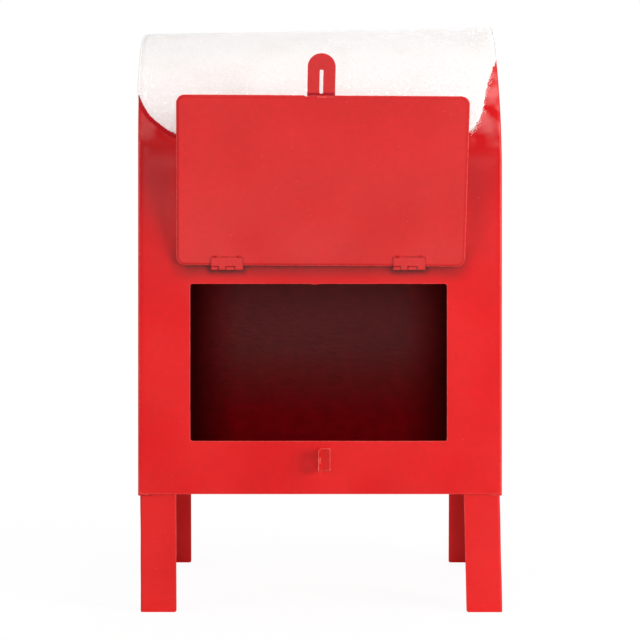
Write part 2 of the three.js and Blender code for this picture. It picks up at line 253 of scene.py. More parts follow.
def fold(corners, radius, steps=6):
    """A bent line in two coordinates, as (where, length, bends).

    where(s) gives the place at distance s, and bends lists the distances that need a line of vertices.
    """
    corners = [np.array(c, float) for c in corners]
    runs, bends = [], []
    distance, start = 0.0, corners[0]
    for i in range(1, len(corners)):
        direction = unit(corners[i] - corners[i - 1])
        runs.append((distance, start, direction, 0.0))
        if i == len(corners) - 1:
            distance += np.linalg.norm(corners[i] - start)
            break
        onward = unit(corners[i + 1] - corners[i])
        turn = math.atan2(direction[0] * onward[1] - direction[1] * onward[0], direction @ onward)
        back = radius * math.tan(abs(turn) / 2)
        distance += np.linalg.norm(corners[i] - start) - back
        runs.append((distance, corners[i] - direction * back, direction, math.copysign(1 / radius, turn)))
        arc = radius * abs(turn)
        bends += list(np.linspace(distance, distance + arc, steps + 1))
        distance += arc
        start = corners[i] + onward * back

    def where(s):
        place = np.zeros((len(s), 2))
        for k, (begin, point, direction, curve) in enumerate(runs):
            end = runs[k + 1][0] if k + 1 < len(runs) else np.inf
            here = (s >= (begin if k else -np.inf)) & (s < end)
            t = (s[here] - begin)[:, None]
            left = np.array([-direction[1], direction[0]])
            if curve:
                along, across = np.sin(curve * t) / curve, (1 - np.cos(curve * t)) / curve
            else:
                along, across = t, 0 * t
            place[here] = point + direction * along + left * across
        return place

    return where, distance, bends


def off(middle, uv, height):
    """Points at a height off a middle surface, along its normal."""
    e = 0.02
    u, v = uv.T
    across = middle(u + e, v) - middle(u - e, v)
    along = middle(u, v + e) - middle(u, v - e)
    normal = np.cross(across, along)
    normal /= np.linalg.norm(normal, axis=1, keepdims=True)
    return middle(u, v) + normal * np.reshape(height, (-1, 1))


def dented(middle, dent):
    """A middle surface pushed off itself by dent(u, v)."""
    return lambda u, v: off(middle, np.column_stack([u, v]), dent(u, v))


def swell(seed, size, wavelength):
    """A smooth, wandering height over (u, v), as a sum of a few slanted waves."""
    rng = np.random.default_rng(seed)
    angles = rng.uniform(0, 2 * math.pi, 6)
    phases = rng.uniform(0, 2 * math.pi, 6)
    lengths = wavelength * rng.uniform(0.7, 1.6, 6)

    def height(u, v):
        waves = [
            np.sin(2 * math.pi * (u * math.cos(a) + v * math.sin(a)) / w + p)
            for a, p, w in zip(angles, phases, lengths)
        ]
        return size * sum(waves) / math.sqrt(len(waves))

    return height


# ---- from outline to object ----


def add_object(name, points, faces, materials, face_materials=None, edge=None):
    """A smooth-shaded mesh object from points in millimetres."""
    mesh = bpy.data.meshes.new(name)
    mesh.from_pydata((np.asarray(points) * MM).tolist(), [], faces)
    for material in materials:
        mesh.materials.append(material)
    if face_materials is not None:
        mesh.polygons.foreach_set("material_index", np.asarray(face_materials, np.int32))
    if edge is not None:
        attribute = mesh.attributes.new("edge_mm", "FLOAT", "POINT")
        attribute.data.foreach_set("value", np.asarray(edge, np.float32))
    mesh.polygons.foreach_set("use_smooth", np.ones(len(mesh.polygons), bool))
    mesh.validate()
    made = bpy.data.objects.new(name, mesh)
    bpy.context.scene.collection.objects.link(made)
    return made


def weigh_normals(made):
    """Keeps flat areas looking flat beside rounded edges."""
    modifier = made.modifiers.new("normals", "WEIGHTED_NORMAL")
    modifier.keep_sharp = True
    modifier.weight = 100


def dress(made, body, slot, *stands_for):
    """Makes a piece ride on a body, standing for its CAD nodes, which it hides. Its slot is not used."""
    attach(made, body)
    if stands_for:
        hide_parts(*stands_for)


# How close the grid's points come to a layout's lines, as a share of its step.
GRID_CLEARANCE = 0.55


class Layout:
    """A flat outline filled with triangles, ready to be bent: loops first, then guides, then a grid."""

    def __init__(self, loops, step, guides=(), rings=(), rounding=0.25, loop_step=None):
        for guide in guides:
            for end in (guide[0], guide[-1]):
                loops = [with_point(loop, end) for loop in loops]
        self.loops = [resampled(loop, loop_step or step) for loop in loops]
        self.mitres = [mitres(loop) for loop in self.loops]
        self.rounding = rounding
        rims = [loop - mitre * rounding for loop, mitre in zip(self.loops, self.mitres)]
        points = np.vstack(rims)
        edges = []
        for rim in rims:
            first = len(edges)
            edges += [(first + k, first + (k + 1) % len(rim)) for k in range(len(rim))]
        boundary = np.vstack(self.loops)
        for guide in guides:
            ends = [int(np.argmin(np.linalg.norm(boundary - end, axis=1))) for end in (guide[0], guide[-1])]
            middle = self.between(guide, points[ends[0]], points[ends[1]], step)
            chain = [ends[0], *range(len(points), len(points) + len(middle)), ends[1]]
            edges += list(zip(chain, chain[1:]))
            if len(middle):
                points = np.vstack([points, middle])
        for ring in rings:
            ring = resampled(ring, loop_step or step)
            chain = [*range(len(points), len(points) + len(ring)), len(points)]
            edges += list(zip(chain, chain[1:]))
            points = np.vstack([points, ring])
        low, high = boundary.min(axis=0), boundary.max(axis=0)
        counts = np.maximum(1, np.round((high - low) / step)).astype(int)
        axes = [low[k] + (high[k] - low[k]) * (np.arange(counts[k]) + 0.5) / counts[k] for k in (0, 1)]
        grid = np.stack(np.meshgrid(*axes), axis=-1).reshape(-1, 2)
        grid = grid[self.holds(grid, rims)]
        grid = grid[self.nearest(grid, points) > GRID_CLEARANCE * step]
        self.points = np.vstack([points, grid])
        self.triangles = self.triangulated(edges, rims)
        self.edge = self.nearest(self.points, boundary)

    @staticmethod
    def between(guide, first, last, step):
        """A guide's own inner points, or points along it if it is a straight line."""
        if len(guide) > 2:
            return np.array(guide[1:-1])
        count = max(1, math.ceil(np.linalg.norm(last - first) / step))
        return np.array([first + (last - first) * k / count for k in range(1, count)]).reshape(-1, 2)

    @staticmethod
    def nearest(points, others):
        """The distance from each point to the nearest of the others."""
        tree = kdtree.KDTree(len(others))
        for k, other in enumerate(others):
            tree.insert((*other, 0), k)
        tree.balance()
        return np.array([tree.find((*point, 0))[2] for point in points])

    @staticmethod
    def holds(points, rims):
        """Which points are on the sheet: inside the outline and in none of its holes."""
        held = inside(points, rims[0])
        for hole in rims[1:]:
            held &= ~inside(points, hole)
        return held

    def triangulated(self, edges, rims):
        flat = [Vector(p) for p in self.points]
        _, _, faces, origins, _, _ = delaunay_2d_cdt(flat, edges, [], 0, 1e-5, True)
        if any(len(origin) != 1 for origin in origins):
            raise ValueError("guides or loops cross each other")
        triangles = np.array([[origins[k][0] for k in face] for face in faces])
        return triangles[self.holds(self.points[triangles].mean(axis=1), rims)]

    def solid(self, middle, front, back, turns=3):
        """Points, faces, which faces are at the back, and distances to the edge.

        front and back are heights off the middle surface, as functions of (u, v) and the edge distance.
        """
        uv, count = self.points, len(self.points)
        top, bottom = front(uv, self.edge), back(uv, self.edge)
        places = [off(middle, uv, top), off(middle, uv, bottom)]
        faces = self.triangles.tolist()
        faces += (self.triangles[:, ::-1] + count).tolist()
        is_back = [False] * len(self.triangles) + [True] * len(self.triangles)
        edge = [self.edge, self.edge]
        total, start, r = 2 * count, 0, self.rounding
        for loop, mitre in zip(self.loops, self.mitres):
            n = len(loop)
            own = slice(start, start + n)
            rings = [np.arange(start, start + n)]
            quarters = [(k, True) for k in range(1, turns + 1)] + [(k, False) for k in range(turns, 0, -1)]
            for quarter, from_top in quarters:
                a = quarter / turns * math.pi / 2
                out, sink = -r + r * math.sin(a), r - r * math.cos(a)
                height = top[own] - sink if from_top else bottom[own] + sink
                places.append(off(middle, loop + mitre * out, height))
                rings.append(np.arange(total, total + n))
                edge.append(np.zeros(n))
                total += n
            rings.append(np.arange(start, start + n) + count)
            for upper, lower in zip(rings, rings[1:]):
                after_upper, after_lower = np.roll(upper, -1), np.roll(lower, -1)
                faces += np.column_stack([upper, lower, after_lower, after_upper]).tolist()
                is_back += [False] * n
            start += n
        return np.vstack(places), faces, is_back, np.concatenate(edge)


def level(height):
    """A constant height, for Layout.solid."""
    return lambda uv, edge: np.full(len(uv), height)


def sheet(name, layout, middle, thickness, front_material, back_material=None):
    """A sheet-metal object of even thickness, with its back painted differently if so asked."""
    half = thickness / 2
    points, faces, is_back, edge = layout.solid(middle, level(half), level(-half))
    materials = [front_material, back_material or front_material]
    made = add_object(name, points, faces, materials, [int(b) for b in is_back], edge)
    weigh_normals(made)
    return made


# ---- materials ----

# The Mix node has several sockets of each name: these are the numbers of those for colours.
MIX_COLOUR_A = 6
MIX_COLOUR_B = 7
MIX_COLOUR_RESULT = 2


class NodeTree:
    """A node tree, with short words for the nodes that the materials are made of.

    A node's input is a value or another node's output. Places are the rest pose's, in millimetres.
    """

    def __init__(self, owner):
        owner.use_nodes = True
        self.tree = owner.node_tree
        self.tree.nodes.clear()

    def add(self, kind, output, inputs=None, **settings):
        """A new node's output, by its name or number."""
        made = self.tree.nodes.new("ShaderNode" + kind)
        for key, value in settings.items():
            setattr(made, key, value)
        for key, value in (inputs or {}).items():
            if isinstance(value, bpy.types.NodeSocket):
                self.tree.links.new(value, made.inputs[key])
            else:
                made.inputs[key].default_value = value
        return made.outputs[output]

    def finish(self, surface, kind="OutputMaterial"):
        """The output node, fed by the finished surface."""
        made = self.tree.nodes.new("ShaderNode" + kind)
        self.tree.links.new(surface, made.inputs["Surface"])

    def place(self, stretch=(1, 1, 1)):
        """The place, stretched along each axis."""
        scale = tuple(k / MM for k in stretch)
        inputs = {0: self.add("TexCoord", "Object"), 1: scale}
        return self.add("VectorMath", "Vector", inputs, operation="MULTIPLY")

    def axes(self, place):
        return (self.add("SeparateXYZ", axis, {0: place}) for axis in "XYZ")

    def grain(self, place, size, detail=2.0):
        """Noise from 0 to 1, whose blotches are about size millimetres."""
        return self.add("TexNoise", "Fac", {"Vector": place, "Scale": 1 / size, "Detail": detail})

    def dots(self, place, spacing, radius, strength=1.0):
        """A mask of round specks, one in most cells of a spacing."""
        distance = self.add("TexVoronoi", "Distance", {"Vector": place, "Scale": 1 / spacing})
        share = radius / spacing
        return self.maths("MULTIPLY", self.spread(distance, share * 0.7, share, 1, 0), strength)

    def spread(self, value, low, high, to_low, to_high):
        """A value between low and high, mapped to between to_low and to_high."""
        inputs = {"Value": value, "From Min": low, "From Max": high, "To Min": to_low, "To Max": to_high}
        return self.add("MapRange", "Result", inputs)

    def maths(self, operation, a, b=0.0):
        return self.add("Math", "Value", {0: a, 1: b}, operation=operation)

    def times(self, first, *others):
        product = first
        for other in others:
            product = self.maths("MULTIPLY", product, other)
        return product

    def away(self, value, middle):
        """How far a value is from a middle, either way."""
        return self.maths("ABSOLUTE", self.maths("SUBTRACT", value, middle))

    def fenced(self, mask, *fences):
        """A mask kept between fences, each of them a value and how it spreads."""
        for value, *limits in fences:
            mask = self.times(mask, self.spread(value, *limits))
        return mask

    def mixed(self, amount, a, b, blend="MIX"):
        """Two colours mixed, each of them (red, green, blue) or another node's output."""
        a, b = ((*colour, 1) if isinstance(colour, tuple) else colour for colour in (a, b))
        inputs = {"Factor": amount, MIX_COLOUR_A: a, MIX_COLOUR_B: b}
        return self.add("Mix", MIX_COLOUR_RESULT, inputs, data_type="RGBA", blend_type=blend)

    def shaded(self, colour, shade):
        """A colour made lighter or darker by a value round 1."""
        grey = self.add("CombineColor", "Color", {"Red": shade, "Green": shade, "Blue": shade})
        return self.mixed(1.0, colour, grey, "MULTIPLY")

    def bump(self, height, strength, distance, normal=None):
        """A normal tilted by a height, where distance is the height's size in millimetres."""
        inputs = {"Height": height, "Strength": strength, "Distance": distance * MM}
        if normal:
            inputs["Normal"] = normal
        return self.add("Bump", "Normal", inputs)


def new_material(name):
    material = bpy.data.materials.new(name)
    return material, NodeTree(material)


def hinge_grime_and_shade(tree, place):
    """A mask for dirt and painted shade on the panel along the door's hinge line, thickest round the hinges.
    """
    x, y, z = tree.axes(place)
    on_panel = (y, -100, -90, 1, 0)
    rising = tree.maths("POWER", tree.spread(z, DOOR_AXIS[2] - 13, DOOR_AXIS[2] + 1, 0, 1), 1.4)
    mask = tree.fenced(rising, (tree.maths("ABSOLUTE", x), 104, 120, 1, 0), on_panel, (z, 185, 200, 1, 0))
    for side in SIDES:
        along = tree.away(x, pin_x("door", side))
        across = tree.away(z, DOOR_AXIS[2] - 1)
        beside = tree.fenced(tree.spread(along, 12, 17, 0.5, 0), (across, 2, 6, 1, 0), on_panel)
        mask = tree.maths("ADD", mask, beside)
    return tree.times(mask, tree.spread(tree.grain(place, 5, 4.0), 0.3, 0.7, 0.75, 1))


def shoulder_shade_and_highlights(tree, place):
    """Masks for the service panel's shoulders under the snow: painted shade beside the door, and pale painted
    highlights near the rims.
    """
    x, y, z = tree.axes(place)
    aside = tree.maths("ABSOLUTE", x)
    on_panel = tree.spread(y, -60, -30, 1, 0)
    short_of_rim = (aside, 140.8, 141.8, 1, 0)
    painted_shade = tree.fenced(
        on_panel,
        (aside, 106, 122, 0, 1),
        short_of_rim,
        (x, 120, 140, 1, 0.25),
        (z, 165, 245, 0, 1),
        (z, 245, 275, 1, 0.6),
    )
    blotches = tree.spread(tree.grain(place, 11, 0.6), 0.4, 0.68, 0, 1)
    painted_highlights = tree.fenced(
        blotches,
        (x, -60, 60, 0.55, 1),
        (z, 270, 284, 0, 1),
        (y, -60, -30, 1, 0),
        (aside, 112, 124, 0, 1),
        short_of_rim,
    )
    return painted_shade, painted_highlights


def paint(
    name,
    tint,
    rough=0.34,
    edge_mark=0.4,
    edge_mark_colour=(0.95, 0.2, 0.16),
    dust=0.5,
    grime_and_shade=0.0,
    gloss=0.24,
    haze_and_sheen=0.03,
    rim=0.0,
    root_shade_height=None,
):
    """Semi-gloss enamel on sheet steel: clouds, chalk-like hazy patches that are stronger lower down as a
    painted sheen, orange peel, dust specks and thin edges.

    The edge amount is how much of the edge colour shows at the very edge: paint rubbed thin with a painted
    highlight where that colour is light, painted shade in the gaps where it is dark. The rim amount is how
    deep the band of painted shade inside the edge is. The dirt amount is how dark the dirt and painted shade
    along the door's hinge line are, and it also brings in painted shade and painted highlights on the panel's
    shoulders. A height for the hasp's root gives a band of painted shade at that height.
    """
    material, tree = new_material(name)
    place = tree.place()
    height = tree.add("SeparateXYZ", "Z", {0: place})

    clouds = tree.spread(tree.grain(place, 65), 0.3, 0.7, 0.93, 1.05)
    mottle = tree.spread(tree.grain(place, 5, 3.0), 0.3, 0.7, 0.97, 1.03)
    colour = tree.shaded(tint, tree.times(clouds, mottle))

    # Chalk-like hazy patches, stronger lower down, where they stand for a painted sheen.
    haze_and_sheen_mask = tree.spread(tree.grain(place, 60, 1.0), 0.35, 0.6, 0.3, 1)
    haze_and_sheen_mask = tree.times(haze_and_sheen_mask, tree.spread(height, 175, 260, haze_and_sheen, 0.3 * haze_and_sheen))
    colour = tree.mixed(haze_and_sheen_mask, colour, (0.9, 0.32, 0.28))

    edge = tree.add("Attribute", "Fac", attribute_name="edge_mm")
    # A band of painted shade inside the edge, where the door's rolled edge turns away.
    colour = tree.mixed(tree.spread(edge, 1.6, 2.6, rim, 0), colour, (0.62, 0.003, 0.006))
    # Edges: paint rubbed thin together with a painted highlight when the edge colour is light, painted shade
    # in the gaps round a part when it is dark.
    patchy = tree.spread(tree.grain(place, 3), 0.4, 0.6, 0.35, 1)
    colour = tree.mixed(tree.times(tree.spread(edge, 0.0, 0.8, edge_mark, 0), patchy), colour, edge_mark_colour)

    # A band of painted shade at the hasp's root, where it comes out from behind the door's edge.
    if root_shade_height:
        root_shade_band = tree.spread(tree.away(height, root_shade_height), 1.4, 1.9, 0.9, 0)
        colour = tree.mixed(root_shade_band, colour, (0.4, 0.0, 0.01))
    # Dirt and painted shade along the door's hinge line, painted shade on the shoulders beside the door, and
    # painted highlights near their rims.
    if grime_and_shade:
        painted_shade, painted_highlights = shoulder_shade_and_highlights(tree, place)
        colour = tree.mixed(tree.times(hinge_grime_and_shade(tree, place), grime_and_shade), colour, (0.1, 0.008, 0.006))
        colour = tree.mixed(tree.times(painted_shade, 0.5), colour, (0.36, 0.002, 0.006))
        colour = tree.mixed(tree.times(painted_highlights, 0.36), colour, (0.98, 0.32, 0.32))
    colour = tree.mixed(tree.dots(place, 9, 0.28, dust), colour, (0.9, 0.62, 0.58))
    colour = tree.mixed(tree.dots(place, 23, 0.35, 0.6), colour, (0.16, 0.01, 0.015))

    streaks = tree.grain(tree.place((1, 1, 0.3)), 9, 1.0)
    peel = tree.bump(tree.grain(place, 1.5), 0.35, 0.03)
    inputs = {
        "Base Color": colour,
        "Roughness": tree.spread(streaks, 0.3, 0.7, rough - 0.015, rough + 0.02),
        "Specular IOR Level": gloss,
        "Coat Weight": 0.08,
        "Coat Roughness": 0.25,
        "Normal": tree.bump(tree.grain(place, 14), 0.5, 0.12, peel),
    }
    tree.finish(tree.add("BsdfPrincipled", "BSDF", inputs))
    return material


def inside_paint():
    """The thin, rippled coat inside the box: painted shade darkens it towards the side walls, and a duller,
    greyer painted reflection lies in the middle of the far wall.
    """
    material, tree = new_material("inside_paint")
    place = tree.place()
    x, y, z = tree.axes(place)
    # Painted shade: darker towards the side walls. Painted reflection: duller and greyer in the middle of the
    # far wall.
    central = tree.spread(tree.away(x, 1), 72, 110, 1, 0)
    grey_reflection = tree.fenced(central, (z, 34, 95, 0, 1), (y, 85, 108, 0, 1))
    colour = tree.mixed(central, (0.17, 0.0, 0.002), (0.78, 0.0, 0.012))
    colour = tree.mixed(grey_reflection, colour, (0.46, 0.018, 0.018))
    colour = tree.shaded(colour, tree.spread(tree.grain(place, 9, 5.0), 0.3, 0.7, 0.88, 1.12))
    colour = tree.mixed(tree.dots(place, 17, 0.7, 0.6), colour, (0.03, 0.002, 0.002))
    ripples = tree.grain(tree.place((0.4, 1, 1)), 3.0, 3.0)
    inputs = {
        "Base Color": colour,
        "Roughness": 0.42,
        "Specular IOR Level": tree.spread(grey_reflection, 0, 1, 0.05, 0.32),
        "Normal": tree.bump(ripples, 0.8, 0.28),
    }
    tree.finish(tree.add("BsdfPrincipled", "BSDF", inputs))
    return material


def glitter_snow():
    """White resin full of glitter: grainy and faintly stained, with a few flakes that catch the light."""
    material, tree = new_material("glitter_snow")
    place = tree.place()
    height = tree.add("SeparateXYZ", "Z", {0: place})
    crest = tree.spread(height, SPRING + 0.7 * BARREL, TOP, 0, 1)
    stain = tree.spread(tree.grain(place, 34, 4.0), 0.52, 0.75, 0, 0.5)
    mottle = tree.spread(tree.grain(place, 1.5, 3.0), 0.38, 0.62, 0, 0.7)
    hollows = tree.spread(tree.grain(place, 2.3, 3.0), 0.3, 0.42, 0.22, 0)
    # Paler at the crest, where the coat is thicker; the pinker lower part also stands for red light bounced
    # off the paint, a painted bounce light.
    colour = tree.mixed(crest, (0.97, 0.9, 0.875), (1.0, 0.975, 0.965))
    colour = tree.mixed(stain, colour, (0.87, 0.78, 0.7))
    colour = tree.mixed(mottle, colour, (1.0, 0.985, 0.975))
    colour = tree.mixed(hollows, colour, (0.87, 0.79, 0.76))
    colour = tree.mixed(tree.dots(place, 21, 0.4, 0.55), colour, (0.4, 0.3, 0.27))

    flakes = {"Vector": place, "Scale": 1 / FLAKE_SIZE}
    rough = tree.bump(tree.add("TexVoronoi", "Distance", flakes), 0.35, 0.14)
    resin = tree.add("BsdfPrincipled", "BSDF", {"Base Color": colour, "Roughness": 0.75, "Normal": rough})

    lot = tree.add("TexVoronoi", "Color", flakes)
    tumbled = tree.add("VectorMath", "Vector", {0: lot, 1: (0.5, 0.5, 0.5)}, operation="SUBTRACT")
    plain = tree.add("NewGeometry", "Normal")
    facing = tree.add("VectorMath", "Vector", {0: tumbled, 1: plain}, operation="ADD")
    facing = tree.add("VectorMath", "Vector", {0: facing}, operation="NORMALIZE")
    shining = tree.spread(tree.add("SeparateColor", "Red", {"Color": lot}), 0.87, 0.89, 0.0, 0.16)
    flake = tree.add("BsdfGlossy", "BSDF", {"Color": shining, "Roughness": 0.2, "Normal": facing})
    tree.finish(tree.add("AddShader", "Shader", {0: resin, 1: flake}))
    return material


# How high the open door's free edge stands, where the hasp comes out from behind it.
HASP_ROOT = swung_open(np.array([closed_box("access_door")[0]]))[0, 2] + 0.6
# The colours are linear, and the reds are as deep as they have to be to look right in the studio's light.
# Dirt and painted shade along the hinge line, painted shade on the shoulders beside the door, and painted
# highlights near their rims.
BODY_RED = paint("body_paint", (0.76, 0.003, 0.005), rough=0.3, grime_and_shade=0.85)
# A paler red and stronger hazy patches than the body's, as a painted sheen; light edges that are partly a
# painted highlight, and a band of painted shade inside them.
DOOR_RED = paint("door_paint", (0.74, 0.023, 0.023), edge_mark=0.8, haze_and_sheen=0.06, rim=0.7)
LEG_RED = paint("leg_paint", (0.78, 0.006, 0.007))
# Darker than the body's red, as painted shade on the fin; its light edges are partly a painted highlight.
STAPLE_RED = paint("staple_paint", (0.66, 0.004, 0.006), edge_mark=0.8, rough=0.26)
# A band of painted shade across the root, where the strap comes out from behind the door's edge.
HASP_RED = paint("hasp_paint", (0.74, 0.034, 0.034), edge_mark=0.3, root_shade_height=HASP_ROOT + 0.4)
# Dark edges: painted shade in the gaps round the leaves.
HINGE_RED = paint("hinge_paint", (0.72, 0.03, 0.03), edge_mark=0.75, edge_mark_colour=(0.09, 0.01, 0.01))
TACK_RED = paint("tack_paint", (0.6, 0.016, 0.016), rough=0.5, edge_mark=0, gloss=0)
PIN_RED = paint("pin_paint", (0.36, 0.01, 0.014), edge_mark=0)
INSIDE_RED = inside_paint()
# The dark red of the filler at the hasp's root stands for the shade in that corner: painted shade.
ROOT_SHADE_RED = paint("root_shade_paint", (0.3, 0.0, 0.006), rough=0.3, edge_mark=0, haze_and_sheen=0)
GLUE_RED = paint("glue_paint", (0.55, 0.0, 0.008), rough=0.2, edge_mark=0, dust=0.2, gloss=0.2, haze_and_sheen=0)
SNOW_WHITE = glitter_snow()

# ---- the wrapped sheet ----


def panel_hole(y):
    """The lowest and highest (x, z) of the hole in the wrapped sheet's flat panel at y."""
    x, on_y, z = vertices("body_wrap").T
    inner = (abs(on_y - y) < 0.01) & (abs(x) < WRAP_HALF - 0.01) & (z > 0.01) & (z < SPRING - 0.01)
    return np.array([(x[inner].min(), z[inner].min()), (x[inner].max(), z[inner].max())])


WRAP_MIDDLE = BARREL - SHEET / 2
WRAP_TOP = TOP - SHEET / 2
WRAP_CORNERS = [(-WRAP_MIDDLE, 0), (-WRAP_MIDDLE, WRAP_TOP), (WRAP_MIDDLE, WRAP_TOP), (WRAP_MIDDLE, 0)]
wrap_line, WRAP_LENGTH, _ = fold(WRAP_CORNERS, WRAP_MIDDLE)


def wrap_middle(u, v):
    """Across the body at u, and v along the sheet from the service panel's bottom edge over the roof."""
    y, z = wrap_line(v).T
    return askew(np.column_stack([u, y, z]))


# Knocks beside the roof's rims, as (x, distance along the sheet, radius, height).
KNOCKS = [
    (137.5, SPRING + 50, 4.5, 1.0),
    (139, SPRING + 35, 4.5, 1.0),
    (133, SPRING + 43, 6, -0.8),
    (140, SPRING + 23, 3.5, 0.7),
    (127, SPRING + 24, 11, -0.7),
    (-139, SPRING + 20, 5, 0.8),
    (-133, SPRING + 27, 7, -0.6),
    (-140, SPRING + 38, 4, 0.5),
    (-120, SPRING - 18, 18, -0.4),
    (14, 26, 16, -0.3),
    (-60, WRAP_LENGTH - SPRING + 40, 22, -0.5),
]
# The opening was cut a little to -X and a little tall, as shifts of its lowest and highest (x, z).
OPENING_STRAY = np.array([(-1.1, -0.2), (-1.1, 0.9)])
# How far the sheet hangs below the CAD sheet's edge.
WRAP_OVERHANG = 0.5
# How deep the panel gives way behind the leaves of the closed door's hinges.
LEAF_ROOM = 0.32
RIM_CURL = 0.45
RIM_CURL_WIDTH = 2.4


def leaf_rest(u, v):
    """Where the panel makes room for the hinge leaves of the closed access door, from 0 to 1."""
    beside = np.clip((108 - np.abs(u)) / 12, 0, 1)
    along = np.clip((22 - np.abs(v - DOOR_AXIS[2] + 6)) / 10, 0, 1)
    return beside * along


def wrap_dent(u, v):
    """Knocks and a slight waviness, and rims that curl in over the end pans."""
    height = swell(SEED, 0.14, 90)(u, v)
    for x, along, radius, rise in KNOCKS:
        height = height + rise * np.exp(-((u - x) ** 2 + (v - along) ** 2) / radius**2)
    room = leaf_rest(u, v)
    height = height * (1 - room) - LEAF_ROOM * room
    share = np.clip((np.abs(u) - WRAP_HALF + RIM_CURL_WIDTH) / RIM_CURL_WIDTH, 0, 1)
    return height - RIM_CURL * share * share


shell_face = dented(wrap_middle, wrap_dent)


def body_shell():
    """The service panel, the barrel roof and the posting panel, with both panels' holes."""
    service_low, service_high = panel_hole(-BARREL) + OPENING_STRAY
    posting_low, posting_high = panel_hole(BARREL)
    opening = rounded_rectangle(service_low, service_high, [2] * 4)
    opening = nicked(opening, middle=-4, y=service_high[1], half_width=3.5, depth=-0.6)
    slot_low = (posting_low[0], WRAP_LENGTH - posting_high[1])
    slot_high = (posting_high[0], WRAP_LENGTH - posting_low[1])
    slot = rounded_rectangle(slot_low, slot_high, [3] * 4)
    bottom, top = -WRAP_OVERHANG, WRAP_LENGTH + WRAP_OVERHANG
    outline = rounded_rectangle((-WRAP_HALF, bottom), (WRAP_HALF, top), [1] * 4, 3)
    insets = [side * (WRAP_HALF - depth) for side in (-1, 1) for depth in (1.0, RIM_CURL_WIDTH, 5.0)]
    guides = upright_lines(insets, bottom, top)
    layout = Layout([outline, opening[::-1], slot[::-1]], step=3.2, guides=guides, loop_step=2)
    made = sheet("body_shell", layout, shell_face, SHEET, BODY_RED, INSIDE_RED)
    dress(made, "body", "body_paint", "body_wrap")


# ---- side pans and floor ----

PAN_MIDDLE = PAN_HIGH[1] - SHEET / 2
PAN_BEND = 1.3
PAN_CORNERS = [(0, PAN_HIGH[0] - SHEET / 2), (PAN_MIDDLE, PAN_HIGH[0] - SHEET / 2), (PAN_MIDDLE, PAN_LOW[0])]
pan_line, PAN_REACH, PAN_BENDS = fold(PAN_CORNERS, PAN_BEND)
# The gap between the floor's notched corners and the legs that stand in them.
LEG_GAP = 0.3


def d_shape(reach, bottom):
    """An arch: straight up from the bottom, round over the spring line, and down again."""
    angles = np.linspace(0, math.pi, 72)
    arc = np.column_stack([reach * np.cos(angles), SPRING + reach * np.sin(angles)])
    rise = np.arange(bottom, SPRING, 4.0)
    up = np.column_stack([np.full(len(rise), reach), rise])
    down = np.column_stack([np.full(len(rise), -reach), rise[::-1]])
    return np.vstack([up, arc, down])


def pan_dent(side):
    """How far along X an end's flat face wanders, over (y, z)."""
    wander = swell(SEED + 2 + side, 0.15, 110)

    def dent(y, z):
        reach = np.where(z >= SPRING, np.hypot(y, z - SPRING), np.abs(y))
        return wander(y, z) * np.clip((PAN_MIDDLE - 6 - reach) / 12, 0, 1)

    return dent


def side_pan(side):
    """A D-shaped end, drawn flat in (y, z) with its rim spread out round it, and the rim bent inwards."""

    def middle(u, v):
        above = v >= SPRING
        reach = np.where(above, np.hypot(u, v - SPRING), np.abs(u))
        safe = np.maximum(reach, 1e-9)
        out, x = pan_line(reach).T
        y = np.where(above, u / safe, np.sign(u)) * out
        z = np.where(above, SPRING + (v - SPRING) / safe * out, v)
        return askew(np.column_stack([side * x, y, z]))

    guides = [d_shape(bend, PAN_LOW[2]) for bend in PAN_BENDS]
    layout = Layout([d_shape(PAN_REACH, PAN_LOW[2])], step=4.5, guides=guides, loop_step=4)
    name = "side_pan_" + ("left" if side < 0 else "right")
    front, back = (BODY_RED, INSIDE_RED) if side > 0 else (INSIDE_RED, BODY_RED)
    made = sheet(name + "_sheet", layout, dented(middle, pan_dent(side)), SHEET, front, back)
    dress(made, "body", "body_paint", name)


def floor_sheet():
    """The floor drawn as a cross, and its four rims bent up."""
    low, high = low_high("floor_pan")
    leg_low, leg_high = low_high("leg_service_left")
    inside_leg = [min(-leg_low[k] - LEG_SHEET, high[k]) - LEG_GAP for k in (0, 1)]
    beside_leg = [-leg_high[k] - LEG_GAP for k in (0, 1)]
    folds = []
    for k in (0, 1):
        reach = high[k] - SHEET / 2
        corners = [(-reach, high[2]), (-reach, SHEET / 2), (reach, SHEET / 2), (reach, high[2])]
        folds.append(fold(corners, 1.2, 4))
    (fold_x, length_x, bends_x), (fold_y, length_y, bends_y) = folds

    def middle(u, v):
        x, up_x = fold_x(u + length_x / 2).T
        y, up_y = fold_y(v + length_y / 2).T
        return np.column_stack([x, y, up_x + up_y - SHEET / 2])

    quarter = [
        (length_x / 2, beside_leg[1]),
        (inside_leg[0], beside_leg[1]),
        (inside_leg[0], inside_leg[1]),
        (beside_leg[0], inside_leg[1]),
        (beside_leg[0], length_y / 2),
    ]
    outline = []
    for sign_x, sign_y in ((1, 1), (-1, 1), (-1, -1), (1, -1)):
        part = [(sign_x * x, sign_y * y) for x, y in quarter]
        outline += part if sign_x * sign_y > 0 else part[::-1]
    guides = upright_lines([bend - length_x / 2 for bend in bends_x], -beside_leg[1], beside_leg[1])
    guides += level_lines([bend - length_y / 2 for bend in bends_y], -beside_leg[0], beside_leg[0])
    layout = Layout([np.array(outline)], step=5, guides=guides)
    dent = swell(SEED + 9, 0.15, 100)
    made = sheet("floor_pan_sheet", layout, dented(middle, dent), SHEET, INSIDE_RED, BODY_RED)
    dress(made, "body", "body_paint", "floor_pan")


# ---- legs ----

# How far each leg's foot has strayed from straight down, as (x, y).
STRAY = {
    "leg_service_left": (0.4, 0.0),
    "leg_service_right": (2.0, -0.4),
    "leg_posting_left": (0.3, 0.4),
    "leg_posting_right": (-0.4, 0.5),
}


